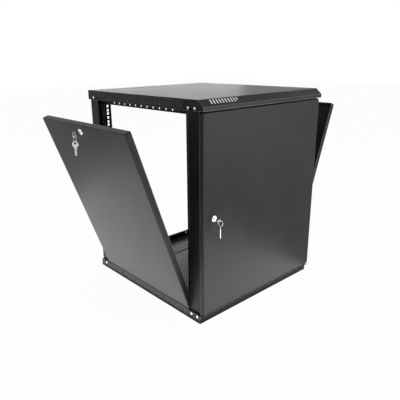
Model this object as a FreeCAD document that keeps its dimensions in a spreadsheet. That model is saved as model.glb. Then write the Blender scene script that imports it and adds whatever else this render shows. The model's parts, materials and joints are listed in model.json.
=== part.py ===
"""Wall mount network cabinet, 15 rack units, 600 x 650 x 742 mm.

A folded roof pan and base pan join four posts.  Two depth rails on each side carry the rack rails.
A hinged door closes the front, and a panel that pivots near its lower edge closes each side.
Door and panels each have a cam lock with its key, and a ring with a spare key hangs in the key's bow.

Frame: X to the right, Y from the front to the wall, Z up.  The origin is the middle of the base's
underside.  Lengths are millimetres, angles degrees.
"""
import FreeCAD, Part
import math
import os

import Sketcher

SIZES = [
    # the case
    ("case_width", 600, "over the roof's and the base's side skirts"),
    ("case_depth", 650, "roof's front edge to the wall"),
    ("case_height", 742, "base's underside to the roof's top"),
    ("skin", 1.5, "sheet of the roof, base, door and side panels"),
    ("frame_sheet", 2, "sheet of the posts and rails"),
    # roof pan
    ("bevel_run", 22.5, "front bevel, front to back"),
    ("bevel_drop", 20, "front bevel, height"),
    ("roof_lip", 7.5, "upright lip under the bevel"),
    ("roof_skirt", 34, "side and rear skirts, from the roof's top"),
    ("side_slot_width", 5, "ventilation slot in a side skirt"),
    ("side_slot_height", 22, "ventilation slot in a side skirt"),
    ("side_slot_pitch", 12, "from slot to slot along a skirt"),
    ("side_slot_first", 92, "middle of the first slot, from the front"),
    ("side_slot_count", 37, "slots in one skirt"),
    ("side_slot_edge", 4.5, "slot's end to the roof's top, or to the base's underside"),
    ("bevel_slot_width", 5, "ventilation slot in the bevel"),
    ("bevel_slot_pitch", 12.5, "from slot to slot along the bevel"),
    ("bevel_slot_first", 45, "middle of the outermost slot, from the side"),
    ("bevel_slot_count", 11, "slots in one group"),
    ("bevel_slot_start", 7.5, "slot's lower end, from the front"),
    ("bevel_slot_run", 14, "slot's length in plan"),
    # base pan
    ("base_front", 19.5, "front skirt, from the front"),
    ("base_back_gap", 4.5, "rear skirt to the wall"),
    ("base_side_skirt", 31, "height"),
    ("base_front_skirt", 20.5, "height"),
    ("base_rear_skirt", 26, "height"),
    ("entry_width", 200, "cable entry in the floor sheet"),
    ("entry_run", 60, "cable entry, front to back"),
    ("entry_back", 60, "cable entry's rear edge to the rear skirt"),
    ("entry_overlap", 15, "cover plate beyond the cable entry"),
    # posts
    ("side_inset", 6, "posts' and panels' outer face, from the case's side"),
    ("post_step", 0.6, "front posts' face behind the bevel's upper edge"),
    ("front_post_depth", 50.6, "front post, front to back"),
    ("rear_post_depth", 48.8, "rear post, front to back"),
    ("post_wall", 24, "width of the posts' inner walls"),
    ("front_flange", 30, "front post's front flange"),
    ("rear_flange", 54, "rear post's rear flange"),
    ("front_seat", 3.8, "front post's flange that a closed panel's edge stands before"),
    ("rear_seat", 10.3, "rear post's flange that a closed panel's edge stands before"),
    ("seat_start", 46, "the flange's lower end, above the pivots"),
    # cross rails behind the door
    ("top_rail_drop", 45, "front top rail's lower edge, from the roof's top"),
    ("top_rail_height", 26, "front top rail"),
    ("bottom_rail_height", 32, "front bottom rail's upper edge"),
    ("rail_return", 16, "folded returns of the cross rails"),
    # depth rails
    ("depth_rail_drop", 50, "top depth rail's lower edge, from the roof's top"),
    ("depth_rail_rise", 50, "bottom depth rail's upper edge"),
    ("depth_rail_foot", 18, "flange on the roof's or the floor's sheet"),
    ("depth_hole", 8, "round holes along the top depth rail"),
    ("depth_hole_pitch", 34, "from hole to hole"),
    ("depth_hole_first", 104.4, "first hole, from the front"),
    ("depth_hole_count", 14, "holes in one rail"),
    ("depth_hole_rise", 8.5, "holes above the rail's lower edge"),
    # rack rails
    ("rack_unit", 44.45, "height of one rack unit"),
    ("rack_bottom", 32.5, "lower edge of the first unit"),
    ("rack_hole_spacing", 465.1, "between the two hole lines"),
    ("rack_hole", 9.5, "square hole for a cage nut"),
    ("rack_hole_outer", 6.35, "unit's edge to its outer holes"),
    ("rack_flange", 30, "width of a rack rail's front"),
    ("front_rack_web", 40, "depth of a front rack rail"),
    ("rear_rack_web", 15, "depth of a rear rack rail"),
    ("rack_rail_end", 9.6, "rack rail below its first unit"),
    ("rack_rail_rise", 17, "rack rail's upper end above the top depth rail's lower edge"),
    ("front_rack_rail", 95, "front rack rails' face, from the front"),
    ("rear_rack_rail", 23, "rear rack rails' face to the wall"),
    ("front_bracket_leg", 26, "bracket's leg on a front rack rail"),
    ("rear_bracket_leg", 13, "bracket's leg on a rear rack rail"),
    ("bracket_tail", 26, "bracket's leg on a depth rail"),
    ("bracket_height", 14, "height of a bracket"),
    ("bolt_head", 10, "hexagon bolts of the brackets, across the flats"),
    ("bolt_head_height", 4, "hexagon bolts of the brackets"),
    # wall rails
    ("wall_rail_length", 520, "both wall rails"),
    ("wall_rail_height", 22, "bottom wall rail"),
    ("wall_hole", 9, "holes for the wall bolts"),
    ("wall_hole_spacing", 372, "between the two bolts of one rail"),
    ("wall_hole_low", 14.5, "lower bolts' height"),
    ("wall_hole_drop", 14.5, "upper bolts, from the roof's top"),
    # screws of the case
    ("screw_shank", 5, "shank of the case screws"),
    ("screw_head", 9, "head of the case screws"),
    ("screw_head_height", 1.5, "pan head"),
    ("screw_length", 10, "under the head"),
    ("screw_play", 0.1, "screw holes over the shank, on the radius"),
    ("screw_front", 36.8, "first roof screw, from the front"),
    ("screw_spacing", 29, "first to second screw"),
    ("screw_rear", 38, "rear roof screw to the wall"),
    ("base_screw_shift", 3.6, "base screws stand this much further forward"),
    ("roof_screw_rise", 8, "above the roof skirt's lower edge"),
    ("base_screw_height", 22, "base screws' height"),
    # door
    ("door_side_gap", 3, "door's edge to the case's side"),
    ("door_front", 6, "door's face, from the front"),
    ("door_thickness", 14.5, "depth of the folded pan"),
    ("door_bottom", 22, "door's lower edge"),
    ("door_top_drop", 44, "door's upper edge, from the roof's top"),
    ("door_corner", 10, "radius of the door's corners, seen from the front"),
    ("door_fold", 6, "radius of the folds round the door's face"),
    ("hinge_inset", 8, "hinge line to the case's side"),
    ("hinge_front", 11, "hinge line, from the front"),
    ("hinge_pin", 5, "diameter of the hinge pins"),
    ("hinge_gap", 1.5, "door's edge to the bracket plate"),
    ("hinge_plate", 2, "sheet of the hinge brackets"),
    ("hinge_bracket_width", 28, "along the door"),
    ("hinge_tab", 12, "bracket's tab on the post or skirt"),
    ("running_play", 0.05, "pins and plugs in their holes, on the radius"),
    ("stiffener_spacing", 300, "between the door's two stiffeners"),
    ("stiffener_width", 30, "channel on the door's inside"),
    ("stiffener_depth", 9, "channel on the door's inside"),
    ("stiffener_end", 22, "channel's end to the door's edge"),
    # side panels
    ("panel_gap", 1, "panel's front and rear edges to the posts"),
    ("panel_depth", 21, "depth of the folded pan"),
    ("panel_corner", 5, "radius of the panel's corners, seen from the side"),
    ("panel_fold", 3, "radius of the folds round the panel's face"),
    ("panel_bottom", 12, "closed panel's lower edge"),
    ("panel_roof_gap", 4.2, "closed panel's upper edge to the roof skirt"),
    ("pivot_inset", 7, "pivot line behind the panel's face"),
    ("pivot_rise", 8.3, "pivot line above the panel's lower edge"),
    ("pivot_pin", 6, "diameter of the pivot pins"),
    ("lean_gap", 0.3, "leaning panel's face to the base skirt's edge"),
    # locks and keys
    ("door_lock_inset", 51, "door lock's axis, from the case's side"),
    ("door_lock_height", 371, "door lock's axis"),
    ("panel_lock_drop", 22.8, "panel lock's axis, from the panel's upper edge"),
    ("lock_head", 20, "diameter of the rim"),
    ("lock_head_height", 3, "rim before the sheet"),
    ("lock_barrel", 18, "diameter of the threaded barrel"),
    ("lock_barrel_length", 20, "barrel behind the face"),
    ("lock_plug", 12, "diameter of the turning plug"),
    ("lock_nut", 24, "across the flats"),
    ("lock_nut_height", 4, "nut on the barrel"),
    ("door_cam_reach", 21, "door's face to the cam"),
    ("panel_cam_reach", 25.5, "panel's face to the cam"),
    ("cam_length", 28, "axis to the cam's tip"),
    ("cam_width", 12, "cam"),
    ("key_sheet", 2, "thickness of the keys"),
    ("key_reach", 30, "face to the end of the bow"),
    ("key_bow", 20, "diameter of the bow"),
    ("bow_hole", 8.5, "hole in the bow"),
    ("bow_rim", 2, "hole to the bow's end"),
    ("key_blade", 7, "width of the blade"),
    ("key_insert", 16, "blade in the plug"),
    ("door_spare_turn", 45, "spare key at the door, turned on its ring from the door's plane"),
    ("panel_spare_turn", 41, "spare keys at the panels, turned on their rings"),
    ("ring_radius", 10, "ring's middle line"),
    ("ring_wire", 1.5, "diameter of the ring's wire"),
    ("ring_gap", 0.55, "ring's wire over the bow that carries it"),
    # earth studs
    ("stud_size", 6, "diameter"),
    ("stud_length", 9, "length"),
]

TOUCH = 0.01

doc = FreeCAD.newDocument("network_cabinet")
sheet = doc.addObject("Spreadsheet::Sheet", "dims")
for row, (alias, number, note) in enumerate(SIZES, start=1):
    sheet.set(f"A{row}", note)
    sheet.set(f"B{row}", str(number))
    sheet.setAlias(f"B{row}", alias)
doc.recompute()

pieces = []

# Places that several pieces share, as expressions over the sheet.
HALF_WIDTH = "dims.case_width / 2"
HALF_DEPTH = "dims.case_depth / 2"
ROOF_UNDER = "(dims.case_height - dims.skin)"
FLOOR_TOP = "dims.skin"
SKIRT_LOW = "(dims.case_height - dims.roof_skirt)"
LIP_LOW = "(dims.case_height - dims.bevel_drop - dims.roof_lip)"
BASE_BACK = "(dims.case_depth - dims.base_back_gap)"
POST_BACK = f"({BASE_BACK} - dims.skin)"
POST_FRONT = "(dims.bevel_run + dims.post_step)"
FRONT_WALL = f"({POST_FRONT} + dims.front_post_depth)"
REAR_WALL = f"({POST_BACK} - dims.rear_post_depth)"
SEAT_FACE = "(dims.side_inset + dims.post_wall)"
TOP_RAIL_LOW = "(dims.case_height - dims.top_rail_drop)"
DEPTH_RAIL_LOW = "(dims.case_height - dims.depth_rail_drop)"
DOOR_TOP = "(dims.case_height - dims.door_top_drop)"
DOOR_BACK = "(dims.door_front + dims.door_thickness)"
PANEL_TOP = f"({SKIRT_LOW} - dims.panel_roof_gap)"
PANEL_FRONT = f"({FRONT_WALL} + dims.panel_gap)"
PANEL_BACK = f"({REAR_WALL} - dims.panel_gap)"
PIVOT_IN = "(dims.side_inset + dims.pivot_inset)"
PIVOT_UP = "(dims.panel_bottom + dims.pivot_rise)"
RACK_LINE = "((dims.case_width - dims.rack_hole_spacing) / 2)"
RACK_WEB = f"({RACK_LINE} - dims.rack_flange / 2)"
RACK_LOW = "(dims.rack_bottom - dims.rack_rail_end)"
RACK_HIGH = f"({DEPTH_RAIL_LOW} + dims.rack_rail_rise)"
RACK_UNITS = f"floor(({RACK_HIGH} - dims.rack_bottom) / dims.rack_unit)"
REAR_RACK_RAIL = "(dims.case_depth - dims.rear_rack_rail)"
WALL_HOLE_HIGH = "(dims.case_height - dims.wall_hole_drop)"


def value(expression):
    """The number that an expression over the sheet gives."""
    return float(sheet.evalExpression(str(expression)))


def across(side, inset):
    """X of a point that lies inset inward from the case's left (-1) or right (1) side."""
    return f"{side} * ({HALF_WIDTH} - ({inset}))"


def along(distance):
    """Y of a point at a distance behind the roof's front edge."""
    return f"({distance}) - {HALF_DEPTH}"


# ---------------------------------------------------------------- modelling helpers

def new_body(label):
    body = doc.addObject("PartDesign::Body", label)
    body.Label = label
    pieces.append(body)
    return body


def origin_plane(body, role):
    return next(item for item in body.Origin.OriginFeatures if item.Role == role)


def new_sketch(body, plane, level):
    """A sketch on one of the body's origin planes, moved to a level along the plane's axis."""
    sketch = body.newObject("Sketcher::SketchObject", "sketch")
    sketch.AttachmentSupport = (origin_plane(body, plane + "_Plane"), [""])
    sketch.MapMode = "FlatFace"
    sign = "-" if plane == "XZ" else ""
    sketch.setExpression("AttachmentOffset.Base.z", f"{sign}({level})")
    return sketch


def pin_point(sketch, geometry, end, point):
    """Ties one point of a sketch to two expressions."""
    for kind, text in zip(("DistanceX", "DistanceY"), point):
        rule = sketch.addConstraint(Sketcher.Constraint(kind, -1, 1, geometry, end, value(text)))
        sketch.setExpression(f"Constraints[{rule}]", str(text))


def draw_polygon(sketch, points):
    spots = [FreeCAD.Vector(value(a), value(b), 0) for a, b in points]
    lines = []
    for here, there in zip(spots, spots[1:] + spots[:1]):
        lines.append(sketch.addGeometry(Part.LineSegment(here, there)))
    for here, there in zip(lines, lines[1:] + lines[:1]):
        sketch.addConstraint(Sketcher.Constraint("Coincident", here, 2, there, 1))
    for line, point in zip(lines, points):
        pin_point(sketch, line, 1, point)


def draw_circle(sketch, centre, diameter):
    middle = FreeCAD.Vector(value(centre[0]), value(centre[1]), 0)
    up = FreeCAD.Vector(0, 0, 1)
    ring = sketch.addGeometry(Part.Circle(middle, up, value(diameter) / 2))
    pin_point(sketch, ring, 3, centre)
    rule = sketch.addConstraint(Sketcher.Constraint("Diameter", ring, value(diameter)))
    sketch.setExpression(f"Constraints[{rule}]", str(diameter))


def add(body, plane, low, high, points=None, circle=None):
    """Pads an outline from the level low to the level high."""
    sketch = new_sketch(body, plane, high if plane == "XZ" else low)
    draw_polygon(sketch, points) if points else draw_circle(sketch, *circle)
    pad = body.newObject("PartDesign::Pad", "pad")
    pad.Profile = sketch
    pad.setExpression("Length", f"({high}) - ({low})")
    return pad


def cut(body, plane, low, high, points=None, circle=None):
    """Pockets an outline from the level high to the level low."""
    sketch = new_sketch(body, plane, low if plane == "XZ" else high)
    draw_polygon(sketch, points) if points else draw_circle(sketch, *circle)
    pocket = body.newObject("PartDesign::Pocket", "pocket")
    pocket.Profile = sketch
    pocket.setExpression("Length", f"({high}) - ({low})")
    return pocket


def repeat(body, feature, axis, pitch, count, backward=False):
    """A row of copies of one feature along one of the body's axes."""
    pattern = body.newObject("PartDesign::LinearPattern", "row")
    pattern.Originals = [feature]
    pattern.Direction = (origin_plane(body, axis + "_Axis"), [""])
    pattern.Mode = "Spacing"
    pattern.Reversed = backward
    pattern.setExpression("Offset", pitch)
    pattern.setExpression("Occurrences", count)
    body.Tip = pattern
    return pattern


def mirror(body, features):
    """Copies features to the other side of the case's middle plane."""
    twin = body.newObject("PartDesign::Mirrored", "twin")
    twin.Originals = features
    twin.MirrorPlane = (origin_plane(body, "YZ_Plane"), [""])
    body.Tip = twin
    return twin


def round_edges(body, chosen, radius):
    """Fillets the edges of the body's last feature that a test picks."""
    doc.recompute()
    base = body.Tip
    names = [f"Edge{n}" for n, edge in enumerate(base.Shape.Edges, start=1) if chosen(edge)]
    fillet = body.newObject("PartDesign::Fillet", "bend")
    fillet.Base = (base, names)
    fillet.setExpression("Radius", radius)
    return fillet


def hollow(body, chosen, sheet_size):
    """Turns a block into a pan of one sheet, open at the face that a test picks."""
    doc.recompute()
    base = body.Tip
    names = [f"Face{n}" for n, face in enumerate(base.Shape.Faces, start=1) if chosen(face)]
    shell = body.newObject("PartDesign::Thickness", "shell")
    shell.Base = (base, names)
    shell.Reversed = True
    shell.setExpression("Value", sheet_size)
    return shell


def runs_along(axis):
    """A test for straight edges that run along an axis."""
    def test(edge):
        return abs(edge.tangentAt(edge.FirstParameter).dot(axis)) > 0.999
    return test


def lies_at(axis, level):
    """A test for edges and faces that lie flat at one level of an axis, X, Y or Z."""
    def test(item):
        ends = (getattr(item.BoundBox, axis + "Min"), getattr(item.BoundBox, axis + "Max"))
        return all(abs(end - value(level)) < TOUCH for end in ends)
    return test


def box(a_low, a_high, b_low, b_high):
    """The corners of a rectangle."""
    return [(a_low, b_low), (a_high, b_low), (a_high, b_high), (a_low, b_high)]


def hexagon(centre, flats):
    """The corners of a regular hexagon, from its width across the flats."""
    corner = f"({flats}) / sqrt(3)"
    turns = [f"{60 * n} deg" for n in range(6)]
    return [(f"{centre} + {corner} * cos({turn})", f"{corner} * sin({turn})") for turn in turns]


def stand(solid, place, turn):
    """Puts the foot of a primitive at a place and turns its axis away from Z."""
    solid.Placement = FreeCAD.Placement(FreeCAD.Vector(), turn)
    for axis, text in zip("xyz", place):
        solid.setExpression(f"Placement.Base.{axis}", text)
    return solid


def cylinder(name, diameter, length, place, turn):
    """A cylinder that starts at a place and points along the axis that a turn gives."""
    rod = doc.addObject("Part::Cylinder", name)
    rod.setExpression("Radius", f"({diameter}) / 2")
    rod.setExpression("Height", length)
    return stand(rod, place, turn)


def fuse(name, parts):
    whole = doc.addObject("Part::MultiFuse", name)
    whole.Shapes = parts
    return whole


def group(label, parts):
    """Separate solids that share one node."""
    whole = doc.addObject("Part::Compound", label)
    whole.Links = parts
    whole.Label = label
    pieces.append(whole)
    return whole


TURN = {
    "-X": FreeCAD.Rotation(FreeCAD.Vector(0, 1, 0), -90),
    "+X": FreeCAD.Rotation(FreeCAD.Vector(0, 1, 0), 90),
    "+Y": FreeCAD.Rotation(FreeCAD.Vector(1, 0, 0), -90),
    "-Y": FreeCAD.Rotation(FreeCAD.Vector(1, 0, 0), 90),
}


# ---------------------------------------------------------------- roof and base

POST_SCREWS = {
    "front": ("dims.screw_front", "(dims.screw_front + dims.screw_spacing)"),
    "rear": ("(dims.case_depth - dims.screw_rear)",),
}


def roof_screws(*posts):
    """(distance behind the front, height) of the screws that hold the roof to posts."""
    height = f"({SKIRT_LOW} + dims.roof_screw_rise)"
    return [(place, height) for post in posts for place in POST_SCREWS[post]]


def base_screws(*posts):
    """(distance behind the front, height) of the screws that hold the base to posts."""
    places = [place for post in posts for place in POST_SCREWS[post]]
    return [(f"({place} - dims.base_screw_shift)", "dims.base_screw_height") for place in places]


def side_slots(body, low):
    """The row of upright ventilation slots, through both side skirts at once."""
    first = along("dims.side_slot_first")
    outline = box(
        f"{first} - dims.side_slot_width / 2",
        f"{first} + dims.side_slot_width / 2",
        low,
        f"{low} + dims.side_slot_height",
    )
    slot = cut(body, "YZ", f"-{HALF_WIDTH}", HALF_WIDTH, outline)
    repeat(body, slot, "Y", "dims.side_slot_pitch", "dims.side_slot_count")


def screw_holes(body, places, low=f"-{HALF_WIDTH}", high=HALF_WIDTH):
    """Holes for the case screws, through both sides at once or through one post's outer face."""
    size = "dims.screw_shank + 2 * dims.screw_play"
    for distance, height in places:
        cut(body, "YZ", low, high, circle=((along(distance), height), size))


def wall_holes(body, low, high, height):
    """The two holes of one height for the wall bolts, from one depth to another."""
    for side in (-1, 1):
        place = (f"{side} * dims.wall_hole_spacing / 2", height)
        cut(body, "XZ", low, high, circle=(place, "dims.wall_hole"))


def make_roof():
    """Top sheet, front bevel and lip, rear skirt and two side skirts, with rows of slots."""
    body = new_body("roof_pan")
    slope = "atan(dims.bevel_drop / dims.bevel_run)"
    knee = f"dims.skin * tan({slope} / 2)"
    heel = f"dims.skin * tan((90 deg - {slope}) / 2)"
    lip_top = "(dims.case_height - dims.bevel_drop)"
    section = [
        (along("0"), LIP_LOW),
        (along("0"), lip_top),
        (along("dims.bevel_run"), "dims.case_height"),
        (HALF_DEPTH, "dims.case_height"),
        (HALF_DEPTH, SKIRT_LOW),
        (f"{HALF_DEPTH} - dims.skin", SKIRT_LOW),
        (f"{HALF_DEPTH} - dims.skin", ROOF_UNDER),
        (along(f"dims.bevel_run + {knee}"), ROOF_UNDER),
        (along("dims.skin"), f"{lip_top} - {heel}"),
        (along("dims.skin"), LIP_LOW),
    ]
    add(body, "YZ", f"-{HALF_WIDTH}", HALF_WIDTH, section)
    skirt = [
        (along("0"), LIP_LOW),
        (along("0"), lip_top),
        (along("dims.bevel_run"), "dims.case_height"),
        (HALF_DEPTH, "dims.case_height"),
        (HALF_DEPTH, SKIRT_LOW),
        (along(POST_FRONT), SKIRT_LOW),
        (along(POST_FRONT), LIP_LOW),
    ]
    left = add(body, "YZ", f"-{HALF_WIDTH}", f"dims.skin - {HALF_WIDTH}", skirt)
    mirror(body, [left])
    side_slots(body, "(dims.case_height - dims.side_slot_edge - dims.side_slot_height)")
    for side in (-1, 1):
        first = across(side, "dims.bevel_slot_first")
        outline = box(
            f"{first} - dims.bevel_slot_width / 2",
            f"{first} + dims.bevel_slot_width / 2",
            along("dims.bevel_slot_start"),
            along("dims.bevel_slot_start + dims.bevel_slot_run"),
        )
        slot = cut(body, "XY", LIP_LOW, "dims.case_height", outline)
        repeat(body, slot, "X", "dims.bevel_slot_pitch", "dims.bevel_slot_count", side > 0)
    screw_holes(body, roof_screws("front", "rear"))
    wall_holes(body, f"{HALF_DEPTH} - dims.skin", HALF_DEPTH, WALL_HOLE_HIGH)


def make_base():
    """Floor sheet with four upstanding skirts, slots in the side skirts and a cable entry."""
    body = new_body("base_pan")
    front = along("dims.base_front")
    back = along(BASE_BACK)
    section = [
        (front, "0"),
        (back, "0"),
        (back, "dims.base_rear_skirt"),
        (f"{back} - dims.skin", "dims.base_rear_skirt"),
        (f"{back} - dims.skin", FLOOR_TOP),
        (f"{front} + dims.skin", FLOOR_TOP),
        (f"{front} + dims.skin", "dims.base_front_skirt"),
        (front, "dims.base_front_skirt"),
    ]
    add(body, "YZ", f"-{HALF_WIDTH}", HALF_WIDTH, section)
    skirt = [
        (front, "0"),
        (back, "0"),
        (back, "dims.base_rear_skirt"),
        (f"{back} - dims.base_side_skirt + dims.base_rear_skirt", "dims.base_side_skirt"),
        (f"{front} + dims.base_side_skirt - dims.base_front_skirt", "dims.base_side_skirt"),
        (front, "dims.base_front_skirt"),
    ]
    left = add(body, "YZ", f"-{HALF_WIDTH}", f"dims.skin - {HALF_WIDTH}", skirt)
    mirror(body, [left])
    side_slots(body, "dims.side_slot_edge")
    entry_back = f"{back} - dims.entry_back"
    entry = box("-dims.entry_width / 2", "dims.entry_width / 2", f"{entry_back} - dims.entry_run", entry_back)
    cut(body, "XY", "0", FLOOR_TOP, entry)
    screw_holes(body, base_screws("front", "rear"))
    wall_holes(body, f"{back} - dims.skin", back, "dims.wall_hole_low")

    cover = new_body("cable_entry_cover")
    lap = "dims.entry_overlap"
    plate = box(
        f"-dims.entry_width / 2 - {lap}",
        f"dims.entry_width / 2 + {lap}",
        f"{entry_back} - dims.entry_run - {lap}",
        f"{entry_back} + {lap}",
    )
    add(cover, "XY", FLOOR_TOP, f"{FLOOR_TOP} + dims.skin", plate)


# ---------------------------------------------------------------- posts and rails

def make_front_post(side, name):
    """Outer face, front flange that the door's cam catches, inner wall and seat flange."""
    body = new_body(f"front_post_{name}")
    tin = "dims.frame_sheet"
    front = POST_FRONT
    section = [
        ("dims.side_inset + dims.front_flange", front),
        ("dims.side_inset", front),
        ("dims.side_inset", FRONT_WALL),
        (f"{SEAT_FACE} - {tin}", FRONT_WALL),
        (f"{SEAT_FACE} - {tin}", f"{FRONT_WALL} + dims.front_seat"),
        (SEAT_FACE, f"{FRONT_WALL} + dims.front_seat"),
        (SEAT_FACE, f"{FRONT_WALL} - {tin}"),
        (f"dims.side_inset + {tin}", f"{FRONT_WALL} - {tin}"),
        (f"dims.side_inset + {tin}", f"{front} + {tin}"),
        ("dims.side_inset + dims.front_flange", f"{front} + {tin}"),
    ]
    add(body, "XY", FLOOR_TOP, ROOF_UNDER, [(across(side, a), along(b)) for a, b in section])
    flange = (FRONT_WALL, f"{FRONT_WALL} + dims.front_seat")
    wall = (f"{FRONT_WALL} - {tin}", FRONT_WALL)
    finish_post(body, side, flange, wall, roof_screws("front") + base_screws("front"))


def make_rear_post(side, name):
    """Outer face, wide rear flange, inner wall and seat flange."""
    body = new_body(f"rear_post_{name}")
    tin = "dims.frame_sheet"
    section = [
        ("dims.side_inset", POST_BACK),
        ("dims.side_inset + dims.rear_flange", POST_BACK),
        ("dims.side_inset + dims.rear_flange", f"{POST_BACK} - {tin}"),
        (f"dims.side_inset + {tin}", f"{POST_BACK} - {tin}"),
        (f"dims.side_inset + {tin}", f"{REAR_WALL} + {tin}"),
        (SEAT_FACE, f"{REAR_WALL} + {tin}"),
        (SEAT_FACE, f"{REAR_WALL} - dims.rear_seat"),
        (f"{SEAT_FACE} - {tin}", f"{REAR_WALL} - dims.rear_seat"),
        (f"{SEAT_FACE} - {tin}", REAR_WALL),
        ("dims.side_inset", REAR_WALL),
    ]
    add(body, "XY", FLOOR_TOP, ROOF_UNDER, [(across(side, a), along(b)) for a, b in section])
    flange = (f"{REAR_WALL} - dims.rear_seat", REAR_WALL)
    wall = (REAR_WALL, f"{REAR_WALL} + {tin}")
    finish_post(body, side, flange, wall, roof_screws("rear") + base_screws("rear"))


def finish_post(body, side, flange, wall, screws):
    """Ends the seat flange above the pivot and cuts the pivot's hole and the screws' holes."""
    inner = across(side, SEAT_FACE)
    outer = across(side, f"{SEAT_FACE} - dims.frame_sheet")
    foot = box(outer, inner, along(flange[0]), along(flange[1]))
    cut(body, "XY", FLOOR_TOP, "dims.seat_start", foot)
    pivot = (across(side, PIVOT_IN), PIVOT_UP)
    size = "dims.pivot_pin + 2 * dims.running_play"
    cut(body, "XZ", along(wall[0]), along(wall[1]), circle=(pivot, size))
    ends = (across(side, "dims.side_inset + dims.frame_sheet"), across(side, "dims.side_inset"))
    screw_holes(body, screws, *ends[::side])


def make_cross_rails():
    """Angles between the front posts' flanges, over and under the door's opening."""
    tin = "dims.frame_sheet"
    face = along(POST_FRONT)
    back = f"{face} + dims.rail_return"
    half = f"({HALF_WIDTH} - dims.side_inset - dims.front_flange)"
    for label, edge, far_edge, up in (
        ("front_top_rail", TOP_RAIL_LOW, f"({TOP_RAIL_LOW} + dims.top_rail_height)", 1),
        ("front_bottom_rail", "dims.bottom_rail_height", FLOOR_TOP, -1),
    ):
        body = new_body(label)
        section = [
            (back, edge),
            (face, edge),
            (face, far_edge),
            (f"{face} + {tin}", far_edge),
            (f"{face} + {tin}", f"{edge} + {up} * {tin}"),
            (back, f"{edge} + {up} * {tin}"),
        ]
        add(body, "YZ", f"-{half}", half, section)


def make_depth_rails(side, name):
    """Angles from front to rear along one side, under the roof and on the floor."""
    tin = "dims.frame_sheet"
    top = new_body(f"top_depth_rail_{name}")
    outer = f"{SEAT_FACE} - {tin}"
    foot = f"{SEAT_FACE} + dims.depth_rail_foot"
    section = [
        (outer, DEPTH_RAIL_LOW),
        (outer, ROOF_UNDER),
        (foot, ROOF_UNDER),
        (foot, f"{ROOF_UNDER} - {tin}"),
        (SEAT_FACE, f"{ROOF_UNDER} - {tin}"),
        (SEAT_FACE, DEPTH_RAIL_LOW),
    ]
    points = [(across(side, a), b) for a, b in section]
    starts = along(f"{FRONT_WALL} + dims.front_seat")
    ends = along(f"{REAR_WALL} - dims.rear_seat")
    add(top, "XZ", starts, ends, points)
    low, high = (across(side, SEAT_FACE), across(side, outer))[::side]
    first = (along("dims.depth_hole_first"), f"{DEPTH_RAIL_LOW} + dims.depth_hole_rise")
    hole = cut(top, "YZ", low, high, circle=(first, "dims.depth_hole"))
    repeat(top, hole, "Y", "dims.depth_hole_pitch", "dims.depth_hole_count")

    bottom = new_body(f"bottom_depth_rail_{name}")
    section = [
        (SEAT_FACE, FLOOR_TOP),
        (foot, FLOOR_TOP),
        (foot, f"{FLOOR_TOP} + {tin}"),
        (f"{SEAT_FACE} + {tin}", f"{FLOOR_TOP} + {tin}"),
        (f"{SEAT_FACE} + {tin}", "dims.depth_rail_rise"),
        (SEAT_FACE, "dims.depth_rail_rise"),
    ]
    points = [(across(side, a), b) for a, b in section]
    add(bottom, "XZ", along(FRONT_WALL), along(REAR_WALL), points)


def make_rack_rail(side, name, label, face, web, into):
    """An angle whose face has three square holes in each rack unit."""
    tin = "dims.frame_sheet"
    body = new_body(f"{label}_rack_rail_{name}")
    inner = f"{RACK_WEB} + dims.rack_flange"
    section = [
        (RACK_WEB, face),
        (inner, face),
        (inner, f"{face} + {into} * {tin}"),
        (f"{RACK_WEB} + {tin}", f"{face} + {into} * {tin}"),
        (f"{RACK_WEB} + {tin}", f"{face} + {into} * {web}"),
        (RACK_WEB, f"{face} + {into} * {web}"),
    ]
    add(body, "XY", RACK_LOW, RACK_HIGH, [(across(side, a), along(b)) for a, b in section])
    low, high = (along(face), along(f"{face} + {into} * {tin}"))[::into]
    centre = across(side, RACK_LINE)
    for step in ("dims.rack_hole_outer", "dims.rack_unit / 2", "dims.rack_unit - dims.rack_hole_outer"):
        middle = f"(dims.rack_bottom + {step})"
        outline = box(
            f"{centre} - dims.rack_hole / 2",
            f"{centre} + dims.rack_hole / 2",
            f"{middle} - dims.rack_hole / 2",
            f"{middle} + dims.rack_hole / 2",
        )
        hole = cut(body, "XZ", low, high, outline)
        repeat(body, hole, "Z", "dims.rack_unit", RACK_UNITS)


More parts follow.
